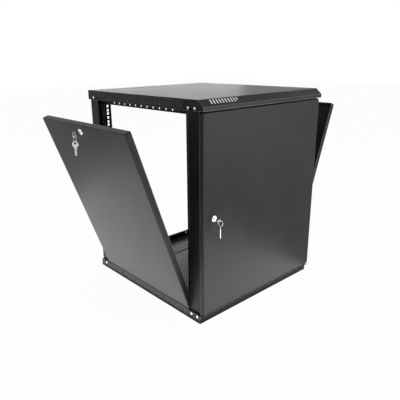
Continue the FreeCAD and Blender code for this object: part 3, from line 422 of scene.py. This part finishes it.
def joined(name, parts):
    """One mesh out of several, which it takes the place of."""
    gathered = bmesh.new()
    for part in parts:
        gathered.from_mesh(part)
        bpy.data.meshes.remove(part)
    data = bpy.data.meshes.new(name)
    gathered.to_mesh(data)
    gathered.free()
    return data


def copies(name, source, places):
    """One mesh with a copy of source at every matrix in places."""
    return joined(name, [placed(source, place) for place in places])


# %% [markdown]
# ## Pieces that take a part's place
# Every dressed piece stands for one part of the model.  It rides on the body that carries that
# part and takes the part's finish, so both are looked up here and not written out each time.

# %% A piece in a part's place
body_of = {}
for body, members in frame["record"]["behaviour"]["bodies"].items():
    body_of.update({node: body for node in members})


def add_piece(name, data, node):
    """Shows a mesh in the place of a part of the model, on its body and in its finish."""
    piece = linked_object(name, data)
    data.materials.clear()
    data.materials.append(FINISHES[slot_of[node]])
    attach(piece, body_of[node])
    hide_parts(node)
    return piece


# %% [markdown]
# ## Door tray, roof lip and hinges
# The door is a shallow tray with four folded edges.  It hangs a finger's width above the base's
# front skirt, close under the lip of the roof, and a dark gap shows behind its edge.  A tray could
# be swept anew, but the model's part already has every fold and hole.  So a copy of its mesh is
# taken, and the rows of points at an edge are moved together: a fold keeps its section, and only
# the flat sheet between two folds gets longer.  The roof's lip and the hinges are fitted the same
# way, so that the pins still stand in the tray and the plates still sit on what carries them, and
# the sill rail behind the door rises with its lower edge, so that no light passes under it.

# %% Sheets with moved edges
# Bands and moves are in millimetres.
AXES = {"x": 0, "y": 1, "z": 2}
DOOR_UP = 9.0
DOOR_LOW_UP = 10.5


def with_moved_edges(node, moves):
    """A copy of a part's mesh; each move is an axis, the band it takes hold of, and how far."""
    data = frame["nodes"][node].data.copy()
    for vert in data.vertices:
        was = vert.co.copy()
        for axis, low, high, by in moves:
            if low * MM <= was[AXES[axis]] <= high * MM:
                vert.co[AXES[axis]] += by * MM
    data.update()
    return data


TRAY_MOVES = [
    ("z", 690, 700, DOOR_UP),
    ("z", 20, 36, DOOR_LOW_UP),
    ("y", -305, -304, -4.0),
    ("x", 290, 298, 3.0),
]
SHEETS = {
    "door_panel": ("door_tray", TRAY_MOVES),
    "roof_pan": ("roof_sheet", [("z", 714.2, 714.8, -5.0)]),
    "door_hinge_pin_top": ("hinge_pin_upper", [("z", 680, 710, DOOR_UP)]),
    "door_hinge_pin_bottom": ("hinge_pin_lower", [("z", 10, 40, DOOR_LOW_UP)]),
    "door_hinge_bracket_top": ("hinge_plate_upper", [("z", 690, 720, DOOR_UP)]),
    "door_hinge_bracket_bottom": ("hinge_plate_lower", [("z", 15, 30, DOOR_LOW_UP)]),
    "front_bottom_rail": ("door_sill_rail", [("z", 31, 33, DOOR_LOW_UP)]),
}
for node, (name, moves) in SHEETS.items():
    sheet = add_piece(name, with_moved_edges(node, moves), node)
    print(name, [round(length / MM, 1) for length in sheet.dimensions])

# %% [markdown]
# ## Case screws
# Twelve pan head screws hold roof and base to the posts.  A pan head is a low dome with a cross
# recess.  The dome is swept round the axis.  The recess is cut by a Boolean modifier with a cutter
# of two crossed wedges, because a swept outline can't make a cross.

# %% Cutting one mesh with another
def evaluated_mesh(thing):
    """The mesh that an object shows once its modifiers and its curve's bevel are worked out."""
    bpy.context.view_layer.update()
    seen = thing.evaluated_get(bpy.context.evaluated_depsgraph_get())
    return bpy.data.meshes.new_from_object(seen)


def cut_away(name, body, cutter):
    """The body's mesh less the cutter's, by a Boolean modifier that is then applied."""
    whole = linked_object(name, body)
    tool = linked_object(name + "_cutter", cutter)
    cut = whole.modifiers.new("cut", "BOOLEAN")
    cut.operation = "DIFFERENCE"
    cut.solver = "EXACT"
    cut.use_self = True
    cut.object = tool
    result = evaluated_mesh(whole)
    for helper in (whole, tool):
        bpy.data.objects.remove(helper)
    carved = bmesh.new()
    carved.from_mesh(result)
    return finished_mesh(name, carved)


# %% A pan head screw
# Widths are radii.  Each screw stops at another angle, as screws do.
HEAD_HIGH = 1.5 * MM
HEAD_WIDE = 4.5 * MM
SHANK_WIDE = 2.5 * MM
SHANK_LONG = 10.0 * MM
POINT = 1.2 * MM
DOME_STEPS = 8
SCREW_SPIN = 0.7


def cross_cutter():
    """Two crossed wedges that narrow towards the bottom of the recess."""
    mesh = bmesh.new()
    for angle in (0.0, math.pi / 2):
        long_way = Vector((math.cos(angle), math.sin(angle), 0))
        short_way = Vector((-math.sin(angle), math.cos(angle), 0))
        corners = []
        for depth, reach, half in ((0.15, 1.1, 0.32), (2.0, 2.6, 0.52)):
            for along_sign, across_sign in ((-1, -1), (1, -1), (1, 1), (-1, 1)):
                corner = long_way * along_sign * reach + short_way * across_sign * half
                corners.append(mesh.verts.new((corner + Vector((0, 0, depth))) * MM))
        join_rings(mesh, [corners[:4], corners[4:]])
    return finished_mesh("cross_cutter", mesh)


def pan_screw():
    mesh = bmesh.new()
    outline = [
        (0.4 * SHANK_WIDE, -SHANK_LONG),
        (SHANK_WIDE, -SHANK_LONG + POINT),
        (SHANK_WIDE, 0),
        (HEAD_WIDE, 0),
    ]
    for step in range(DOME_STEPS + 1):
        lean = math.radians(90 * step / DOME_STEPS)
        height = HEAD_HIGH * (0.25 + 0.75 * math.sin(lean))
        outline.append((HEAD_WIDE * math.cos(lean * 0.97), height))
    join_rings(mesh, [level_ring(mesh, radius, height) for radius, height in outline])
    return cut_away("pan_screw", finished_mesh("pan_blank", mesh), cross_cutter())


def stand_case_screws():
    places = []
    for number, (low, high) in enumerate(islands("case_screws")):
        side = 1 if low.x > 0 else -1
        middle = (low + high) / 2
        seat = Vector((high.x - HEAD_HIGH if side > 0 else low.x + HEAD_HIGH, middle.y, middle.z))
        places.append(pointing(seat, (side, 0, 0), SCREW_SPIN * number))
    heads = copies("case_screw_heads", pan_screw(), places)
    add_piece("case_screw_heads", heads, "case_screws")
    print(len(places), "case screws")


stand_case_screws()

# %% [markdown]
# ## Rack rail bolts
# A hexagon bolt's head isn't a plain prism.  Its top is turned to a cone of thirty degrees, which
# cuts the six corners in arcs, and a round washer face lies under it.  Both come from rings whose
# radius follows the hexagon while their height follows the cone.

# %% Hexagons
# The washer face is a little narrower than the flats.
WASHER_SHARE = 0.94
WASHER_HIGH = 0.3 * MM
CONE = math.radians(30)


def hexagon_radius(flats):
    """A function that gives a hexagon's radius at each angle, by its width across the flats."""
    def radius_at(angle):
        within = (angle % (math.pi / 3)) - math.pi / 6
        return flats / 2 / math.cos(within)
    return radius_at


def cone_height(flats, high, sign=1):
    """The height of the cone over the hexagon's edge at each angle; sign -1 turns it over."""
    edge = hexagon_radius(flats)
    start = WASHER_SHARE * flats / 2
    slope = math.tan(CONE)
    return lambda angle: high - sign * (edge(angle) - start) * slope


def bolt_head(flats, high):
    """A hexagon head: washer face, six sides, cone and round top."""
    mesh = bmesh.new()
    edge = hexagon_radius(flats)
    face = WASHER_SHARE * flats / 2
    rings = [
        level_ring(mesh, face, 0.0),
        level_ring(mesh, face, WASHER_HIGH),
        ring_of_points(mesh, edge, lambda angle: WASHER_HIGH),
        ring_of_points(mesh, edge, cone_height(flats, high)),
        level_ring(mesh, face, high),
    ]
    join_rings(mesh, rings)
    return finished_mesh("bolt_head", mesh, smooth_below=20)


def stand_rail_bolts():
    places = []
    boxes = islands("rack_rail_bolts")
    flats = boxes[0][1].y - boxes[0][0].y
    high = boxes[0][1].x - boxes[0][0].x
    for low, high_corner in boxes:
        middle = (low + high_corner) / 2
        seat = Vector((low.x if middle.x < 0 else high_corner.x, middle.y, middle.z))
        inward = (1 if middle.x < 0 else -1, 0, 0)
        places.append(pointing(seat, inward))
    heads = copies("rack_rail_bolt_heads", bolt_head(flats, high), places)
    add_piece("rack_rail_bolt_heads", heads, "rack_rail_bolts")
    print(len(places), "rail bolts,", round(flats / MM, 1), "mm across the flats")


stand_rail_bolts()

# %% [markdown]
# ## Where the locks stand
# Door and panels each carry a cam lock.  The model's joints say where a lock turns: the joint's
# point is the middle of the lock's face, and its axis points out of the sheet.  A lock's own frame
# has +Z along that axis, and +Y up the sheet.  On the panels the part that the key turns lies a
# quarter turn further round, so the key's bow stands upright there and lies level at the door.

# %% The locks' own frames
joint_of = {joint["name"]: joint for joint in frame["joints"]}
LOCKS = {"door": "door_lock_turn", "left": "left_lock_turn", "right": "right_lock_turn"}
QUARTERS = {"door": 0, "left": 1, "right": 1}


def lock_frame(lock, quarter=0):
    """The lock's frame, turned by quarter turns about its axis."""
    joint = joint_of[LOCKS[lock]]
    outward = Vector(joint["axis"]).normalized()
    level = Vector((0, 0, 1)).cross(outward).normalized()
    upward = outward.cross(level)
    aim = Matrix((level, upward, outward)).transposed().to_4x4()
    turned = Matrix.Rotation(quarter * math.pi / 2, 4, "Z")
    return Matrix.Translation(joint["pos_m"]) @ aim @ turned


for lock in LOCKS:
    print(lock, "lock at", [round(value / MM, 1) for value in lock_frame(lock).translation])

# %% [markdown]
# ## Lock rims and threaded barrels
# The rim is die cast and chromed: a flat ring with a rolled outer edge and a shallow dish down to
# the plug.  Behind the sheet it goes on as a threaded barrel.  A thread is a ramp wound round the
# barrel, so here each point's radius follows its height plus its angle.  That makes a true helix,
# where plain grooves would only make rings.

# %% Rim and barrel
def threaded(mesh, radius, low, high, pitch, depth):
    """Rings from low to high whose radius winds up a thread."""
    rings = []
    rows = max(2, int(round((high - low) / (pitch / 4))))
    for row in range(rows + 1):
        height = low + (high - low) * row / rows
        fade = min(1.0, row / 4, (rows - row) / 4)

        def radius_at(angle, height=height, fade=fade):
            phase = (height / pitch - angle / (2 * math.pi)) % 1.0
            return radius - depth * fade * (1 - abs(2 * phase - 1))

        rings.append(ring_of_points(mesh, radius_at, lambda angle, height=height: height))
    return rings


def lock_body(rim, head, barrel, bore, length):
    """The rim with its threaded barrel; rim, barrel and bore are radii, and all is in metres."""
    mesh = bmesh.new()
    rings = [level_ring(mesh, bore, -length), level_ring(mesh, barrel - 0.8 * MM, -length)]
    ends = (-length + 0.6 * MM, -0.3 * MM)
    rings += threaded(mesh, barrel, *ends, pitch=1.5 * MM, depth=0.55 * MM)
    outline = [
        (barrel, 0.0),
        (rim - 0.2 * MM, 0.0),
        (rim, 0.25 * MM),
        (rim, 1.1 * MM),
        (rim - 0.25 * MM, 1.9 * MM),
        (rim - 0.9 * MM, 2.6 * MM),
        (rim - 1.8 * MM, head),
        (bore + 1.3 * MM, head),
        (bore + 0.5 * MM, head - 0.25 * MM),
        (bore, head - 0.7 * MM),
    ]
    rings += [level_ring(mesh, radius, height) for radius, height in outline]
    join_rings(mesh, rings, closed=True)
    return finished_mesh("lock_body", mesh)


# %% The three rims
# The lock's sizes come from the model's part; its head is what stands before the sheet.
door_low, door_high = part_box("door_lock_body")
RIM = (door_high[0] - door_low[0]) / 2
FACE = joint_of["door_lock_turn"]["pos_m"][1]
HEAD = FACE - door_low[1]
BARREL_LONG = door_high[1] - FACE
BARREL = 9.0 * MM
BORE = 6.1 * MM
for lock in LOCKS:
    data = lock_body(RIM, HEAD, BARREL, BORE, BARREL_LONG)
    data.transform(lock_frame(lock))
    add_piece(f"{lock}_lock_rim", data, f"{lock}_lock_body")
print("lock rims", round(2 * RIM / MM, 1), "mm across")

# %% [markdown]
# ## Lock nuts
# The nut behind the sheet is a hexagon with cones on both faces and a bore that the barrel fills.

# %% Nuts
NUT_FLATS = 24.0 * MM
NUT_HIGH = 4.0 * MM
SKIN = 1.5 * MM


def lock_nut():
    mesh = bmesh.new()
    edge = hexagon_radius(NUT_FLATS)
    face = WASHER_SHARE * NUT_FLATS / 2
    near, far = -SKIN, -SKIN - NUT_HIGH
    rings = [
        level_ring(mesh, BARREL + 0.05 * MM, near - 0.4 * MM),
        level_ring(mesh, BARREL + 0.5 * MM, near),
        level_ring(mesh, face, near),
        ring_of_points(mesh, edge, cone_height(NUT_FLATS, near)),
        ring_of_points(mesh, edge, cone_height(NUT_FLATS, far, -1)),
        level_ring(mesh, face, far),
        level_ring(mesh, BARREL + 0.5 * MM, far),
        level_ring(mesh, BARREL + 0.05 * MM, far + 0.4 * MM),
    ]
    join_rings(mesh, rings, closed=True)
    return finished_mesh("lock_nut", mesh, smooth_below=20)


for lock in LOCKS:
    data = lock_nut()
    data.transform(lock_frame(lock) @ Matrix.Rotation(math.pi / 6, 4, "Z"))
    add_piece(f"{lock}_ring_nut", data, f"{lock}_lock_nut")
print(len(LOCKS), "lock nuts")

# %% [markdown]
# ## Flat pressed parts
# Cams and keys are stamped from flat sheet.  A 2-D curve is the direct way to make such a part:
# its outline can hold arcs, a second loop inside it becomes a hole, and Extrude and Bevel give
# the sheet its thickness and its broken edges.

# %% From outline to stamped sheet
BROKEN_EDGE = 0.3


def curve_mesh(curve):
    """The mesh of a curve, which it takes the place of."""
    holder = linked_object(curve.name, curve)
    data = evaluated_mesh(holder)
    bpy.data.objects.remove(holder)
    bpy.data.curves.remove(curve)
    return data


def arc(centre, radius, start, end, steps=16):
    """Points of an arc in the plane, by its angles in degrees."""
    points = []
    for step in range(steps + 1):
        angle = math.radians(start + (end - start) * step / steps)
        points.append((centre[0] + radius * math.cos(angle), centre[1] + radius * math.sin(angle)))
    return points


def stamped(name, loops, thick):
    """Flat sheet of a given thickness with broken edges; all sizes are in millimetres."""
    curve = bpy.data.curves.new(name, "CURVE")
    curve.dimensions = "2D"
    curve.fill_mode = "BOTH"
    curve.extrude = (thick / 2 - BROKEN_EDGE) * MM
    curve.bevel_depth = BROKEN_EDGE * MM
    curve.bevel_resolution = 2
    curve.offset = -BROKEN_EDGE * MM
    for loop in loops:
        spline = curve.splines.new("POLY")
        spline.points.add(len(loop) - 1)
        for point, (across, along) in zip(spline.points, loop):
            point.co = (across * MM, along * MM, 0, 1)
        spline.use_cyclic_u = True
    mesh = bmesh.new()
    mesh.from_mesh(curve_mesh(curve))
    bmesh.ops.remove_doubles(mesh, verts=mesh.verts, dist=0.005 * MM)
    return finished_mesh(name, mesh, smooth_below=50)


# %% [markdown]
# ## Cams
# The cam is the tongue that catches behind the post.  A screw with a hexagon head holds it on the
# plug's end.  At rest the tongue points up from the door's lock, and along the panel's edge.

# %% Tongues and their screws
# The tongue's outline is in millimetres.  The screw is measured across its flats.
CAM_WIDE = 12.0
CAM_LONG = 28.0
TIP_ROUND = 3.5
CAM_SHEET = 2.0 * MM
CAM_SCREW = 8.0 * MM


def cam_tongue():
    half = CAM_WIDE / 2
    inset, height = half - TIP_ROUND, CAM_LONG - TIP_ROUND
    tip = arc((inset, height), TIP_ROUND, 0, 90, 6) + arc((-inset, height), TIP_ROUND, 90, 180, 6)
    root = arc((0, 0), half, 180, 360, 24)
    return stamped("cam_tongue", [root + tip], CAM_SHEET / MM)


def cam_reach(lock):
    """From the lock's face to the cam, measured along the lock's axis."""
    into = lock_frame(lock).inverted()
    data = frame["nodes"][f"{lock}_lock_cam"].data
    depths = [(into @ vert.co).z for vert in data.vertices]
    return max(depths), min(depths)


for lock in LOCKS:
    near, far = cam_reach(lock)
    behind = near - CAM_SHEET
    tongue = cam_tongue()
    tongue.transform(Matrix.Translation((0, 0, near - CAM_SHEET / 2)))
    screw = bolt_head(CAM_SCREW, behind - far)
    screw.transform(Matrix.Translation((0, 0, behind)) @ Matrix.Rotation(math.pi, 4, "X"))
    data = joined(f"{lock}_cam_tongue", [tongue, screw])
    data.transform(lock_frame(lock, QUARTERS[lock]))
    add_piece(f"{lock}_cam_tongue", data, f"{lock}_lock_cam")
    print(lock, "cam", round(-near / MM, 1), "mm behind the face")

# %% [markdown]
# ## Keys
# A cabinet key is stamped brass under nickel: a round bow with its hole, a short neck, and a flat
# blade with bitting on one edge and a groove milled into each side.  The outline comes from arcs
# and notches.  The grooves are cut by a Boolean, as the real ones are milled after stamping.

# %% A cabinet key
# In millimetres.  Bow, hole, neck and blade are radii or half widths, and each notch has its place
# along the inserted blade, as a share, and its depth.
KEY_SHEET = 2.0
BOW = 10.0
BOW_HOLE = 4.25
BOW_RIM = 2.0
NECK = 4.6
BLADE = 3.5
KEY_REACH = 30.0
KEY_INSERT = 16.0
NOTCHES = ((0.16, 1.6), (0.36, 0.7), (0.54, 1.9), (0.74, 1.1))
GROOVE_DEPTH = 0.45


def key_outline():
    """The key's outline in millimetres: bow's end at y = 0, and the tip at the far end."""
    tip = KEY_REACH + KEY_INSERT
    lean = math.degrees(math.asin(NECK / BOW))
    bow = arc((0, BOW), BOW, 90 + lean, 450 - lean, 40)
    shoulder = [(NECK, 2 * BOW + 1.5), (BLADE, 2 * BOW + 3.5), (BLADE, KEY_REACH)]
    bitting = []
    for notch, depth in NOTCHES:
        at = KEY_REACH + notch * KEY_INSERT
        bitting += [(BLADE, at - 1.3), (BLADE - depth, at - 0.35)]
        bitting += [(BLADE - depth, at + 0.35), (BLADE, at + 1.3)]
    point = [(BLADE, tip - 2.2), (BLADE - 2.2, tip), (-BLADE + 1.4, tip), (-BLADE, tip - 1.4)]
    back = [(-BLADE, 2 * BOW + 3.5), (-NECK, 2 * BOW + 1.5)]
    return bow + shoulder + bitting + point + back


def groove_cutter():
    """Two long bars that mill a shallow groove into each side of the blade."""
    mesh = bmesh.new()
    start, end = 2 * BOW + 4.0, KEY_REACH + KEY_INSERT + 2.0
    bottom = KEY_SHEET / 2 - GROOVE_DEPTH
    for side in (-1, 1):
        ring_low, ring_high = [], []
        for across, height in ((-1.9, bottom), (-0.7, bottom), (-0.4, 1.6), (-2.2, 1.6)):
            ring_low.append(mesh.verts.new(Vector((across, start, side * height)) * MM))
            ring_high.append(mesh.verts.new(Vector((across, end, side * height)) * MM))
        join_rings(mesh, [ring_low, ring_high])
    return finished_mesh("groove_cutter", mesh)


def cabinet_key():
    hole = arc((0, BOW_RIM + BOW_HOLE), BOW_HOLE, 360, 11.25, 31)
    blank = stamped("key_blank", [key_outline(), hole], KEY_SHEET)
    return cut_away("cabinet_key", blank, groove_cutter())


KEY = cabinet_key()
low_key = min(vert.co.y for vert in KEY.vertices)
high_key = max(vert.co.y for vert in KEY.vertices)
print("key", round((high_key - low_key) / MM, 1), "mm long,", len(KEY.polygons), "faces")

# %% [markdown]
# ## Keys in the locks
# Each lock holds a key.  One key mesh serves all: it is laid along the lock's axis with its bow
# outside, and every copy takes the frame of its own lock.

# %% Keys in their locks
TIP_DOWN = Matrix.Rotation(-math.pi / 2, 4, "X")
for lock in LOCKS:
    bow_end = lock_frame(lock, QUARTERS[lock]) @ Matrix.Translation((0, 0, KEY_REACH * MM))
    add_piece(f"{lock}_lock_key", placed(KEY, bow_end @ TIP_DOWN), f"{lock}_key")
print(len(LOCKS), "keys in their locks")

# %% [markdown]
# ## Split rings
# A split ring is spring wire wound twice round, and the wire steps from one turn to the next
# beside its end.  A torus would miss that step, so a curve with a round bevel follows the wire.
# The ring hangs upright, across the bow that carries it.

# %% Split rings
# Ring and wire are radii; the wire's first end lies at WIRE_START round the ring.
RING = 10.0 * MM
WIRE = 0.38 * MM
WIRE_STEPS = 120
WIRE_START = math.radians(200)


def split_ring():
    """Wire wound twice about +X, with its middle at the origin."""
    curve = bpy.data.curves.new("split_ring", "CURVE")
    curve.dimensions = "3D"
    curve.bevel_depth = WIRE
    curve.bevel_resolution = 3
    curve.use_fill_caps = True
    spline = curve.splines.new("POLY")
    spline.points.add(WIRE_STEPS)
    for number, point in enumerate(spline.points):
        angle = 4 * math.pi * number / WIRE_STEPS
        crossing = min(1.0, max(0.0, (angle - 2 * math.pi + 0.5)))
        offset = WIRE * (2 * crossing * crossing * (3 - 2 * crossing) - 1)
        around = angle + WIRE_START
        point.co = (offset, RING * math.cos(around), RING * math.sin(around), 1)
    data = curve_mesh(curve)
    for face in data.polygons:
        face.use_smooth = True
    return data


for lock in LOCKS:
    node = f"{lock}_key_ring"
    low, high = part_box(node)
    data = split_ring()
    data.transform(Matrix.Translation((Vector(low) + Vector(high)) / 2))
    add_piece(f"{lock}_split_ring", data, node)
print(len(LOCKS), "split rings")

# %% [markdown]
# ## Spare keys
# The spare hangs from the ring by its bow, lowest of all, and turned a little out of the sheet's
# plane, as a key does that nobody has straightened.

# %% Spare keys
SPARE_TURN = {"door": 45.0, "left": -41.0, "right": 41.0}
for lock, degrees in SPARE_TURN.items():
    node = f"{lock}_spare_key"
    low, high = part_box(node)
    top = Matrix.Translation(((low[0] + high[0]) / 2, (low[1] + high[1]) / 2, high[2]))
    aside = Matrix.Rotation(math.radians(degrees), 4, "Z")
    add_piece(f"{lock}_hanging_key", placed(KEY, top @ aside @ TIP_DOWN), node)
print(len(SPARE_TURN), "spare keys")
bpy.data.meshes.remove(KEY)

# %% [markdown]
# ## Earth studs
# A threaded stud stands on the floor sheet and one stands inside the door, for the green and
# yellow earth wires.  They are small, but they show when the door is open, so they get a thread.

# %% Threaded studs
def threaded_stud(radius, length):
    mesh = bmesh.new()
    rings = [level_ring(mesh, radius * 0.6, 0.0)]
    ends = (0.2 * MM, length - 0.4 * MM)
    rings += threaded(mesh, radius, *ends, pitch=1.0 * MM, depth=0.4 * MM)
    rings.append(level_ring(mesh, radius * 0.7, length))
    join_rings(mesh, rings)
    return finished_mesh("threaded_stud", mesh)


STUDS = {"earth_stud_cabinet": (0, 0, 1), "earth_stud_door": (0, 1, 0)}
for node, direction in STUDS.items():
    low, high = (Vector(corner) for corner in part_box(node))
    radius = (high.x - low.x) / 2
    length = (high - low).dot(Vector(direction))
    middle = (low + high) / 2
    foot = middle - Vector(direction) * length / 2
    data = threaded_stud(radius, length)
    data.transform(pointing(foot, direction))
    add_piece(node.replace("earth_stud", "threaded_stud"), data, node)
print(len(STUDS), "earth studs")

# %% [markdown]
# ## The stage
# The studio is a white sweep without a horizon.  Camera and reflections see a white world, where a
# strength of one is white, while the light that falls on the cabinet from the world is weaker.
# The floor is white to the camera in the same way, and keeps a faint shadow.

# %% World and floor
WHITE = (1.0, 1.0, 1.0, 1.0)
GLOW = 0.25
FLOOR_GLOW = 0.97
FLOOR_HALF = 12.0


def sees_background(graph):
    """One where a ray comes from the camera, from a reflection or through glass."""
    path = graph.node("ShaderNodeLightPath", output="Is Camera Ray")
    rays = path.socket.node.outputs
    return path + Sock(graph, rays["Is Glossy Ray"]) + Sock(graph, rays["Is Transmission Ray"])


def make_world():
    world = bpy.data.worlds.new("studio")
    world.use_nodes = True
    scene.world = world
    graph = Graph(world.node_tree)
    seen = sees_background(graph)
    strength = seen * (1.0 - GLOW) + GLOW
    background = graph.node("ShaderNodeBackground", inputs={"Color": WHITE, "Strength": strength})
    graph.node("ShaderNodeOutputWorld", inputs={"Surface": background})


def make_floor():
    mesh = bpy.data.meshes.new("floor")
    signs = ((-1, -1), (1, -1), (1, 1), (-1, 1))
    corners = [(x * FLOOR_HALF, y * FLOOR_HALF, 0) for x, y in signs]
    mesh.from_pydata(corners, [], [(0, 1, 2, 3)])
    floor = linked_object("floor", mesh)
    material, graph = new_material("floor_white")
    glow = graph.node("ShaderNodeEmission", inputs={"Color": WHITE, "Strength": 1.0})
    matt = graph.node("ShaderNodeBsdfDiffuse", inputs={"Color": (0.8, 0.8, 0.8, 1.0)})
    share = sees_background(graph) * FLOOR_GLOW
    finish_material(graph, graph.node("ShaderNodeMixShader", inputs={0: share, 1: matt, 2: glow}))
    mesh.materials.append(material)
    floor.location.z = cad_box[0][2]


make_world()
make_floor()
scene.view_settings.view_transform = "Standard"
print("the floor is", 2 * FLOOR_HALF, "m wide")

# %% [markdown]
# ## The lamps
# Black satin shows nothing but what it mirrors, so the lamps are wide and stand where door, panel
# and roof mirror them softly.  Two more lie just over the floor and face up.  They stand for the
# light that a bright floor sends back, which brightens the sheets towards their lower ends.

# %% Six area lamps
def make_lamp(name, place, aim, wide, high, power):
    data = bpy.data.lights.new(name, "AREA")
    data.shape = "RECTANGLE"
    data.size = wide
    data.size_y = high
    data.energy = power
    lamp = linked_object(name, data)
    lamp.location = place
    lamp.rotation_mode = "QUATERNION"
    lamp.rotation_quaternion = (Vector(place) - Vector(aim)).to_track_quat("Z", "Y")
    lamp.visible_camera = False


MIDDLE = (0, 0, 0.4)
LAMPS = [
    ("softbox_left", (-2.6, -1.6, 1.9), MIDDLE, 1.6, 1.6, 15),
    ("softbox_front", (1.2, -2.1, 0.55), MIDDLE, 1.3, 1.0, 28),
    ("softbox_top", (0, 0.6, 2.8), MIDDLE, 2.0, 2.0, 12),
    ("softbox_rear", (1.76, 2.43, 0.85), (0, 0, 0.7), 1.6, 0.5, 17),
    ("bounce_left", (-0.60, 0.30, 0.01), (-0.60, 0.30, 1.0), 0.60, 1.20, 4.2),
    ("bounce_front", (-0.15, -0.82, 0.004), (-0.15, -0.82, 1.0), 0.95, 0.96, 10.5),
]
for lamp_sizes in LAMPS:
    make_lamp(*lamp_sizes)
print(len(LAMPS), "lamps")
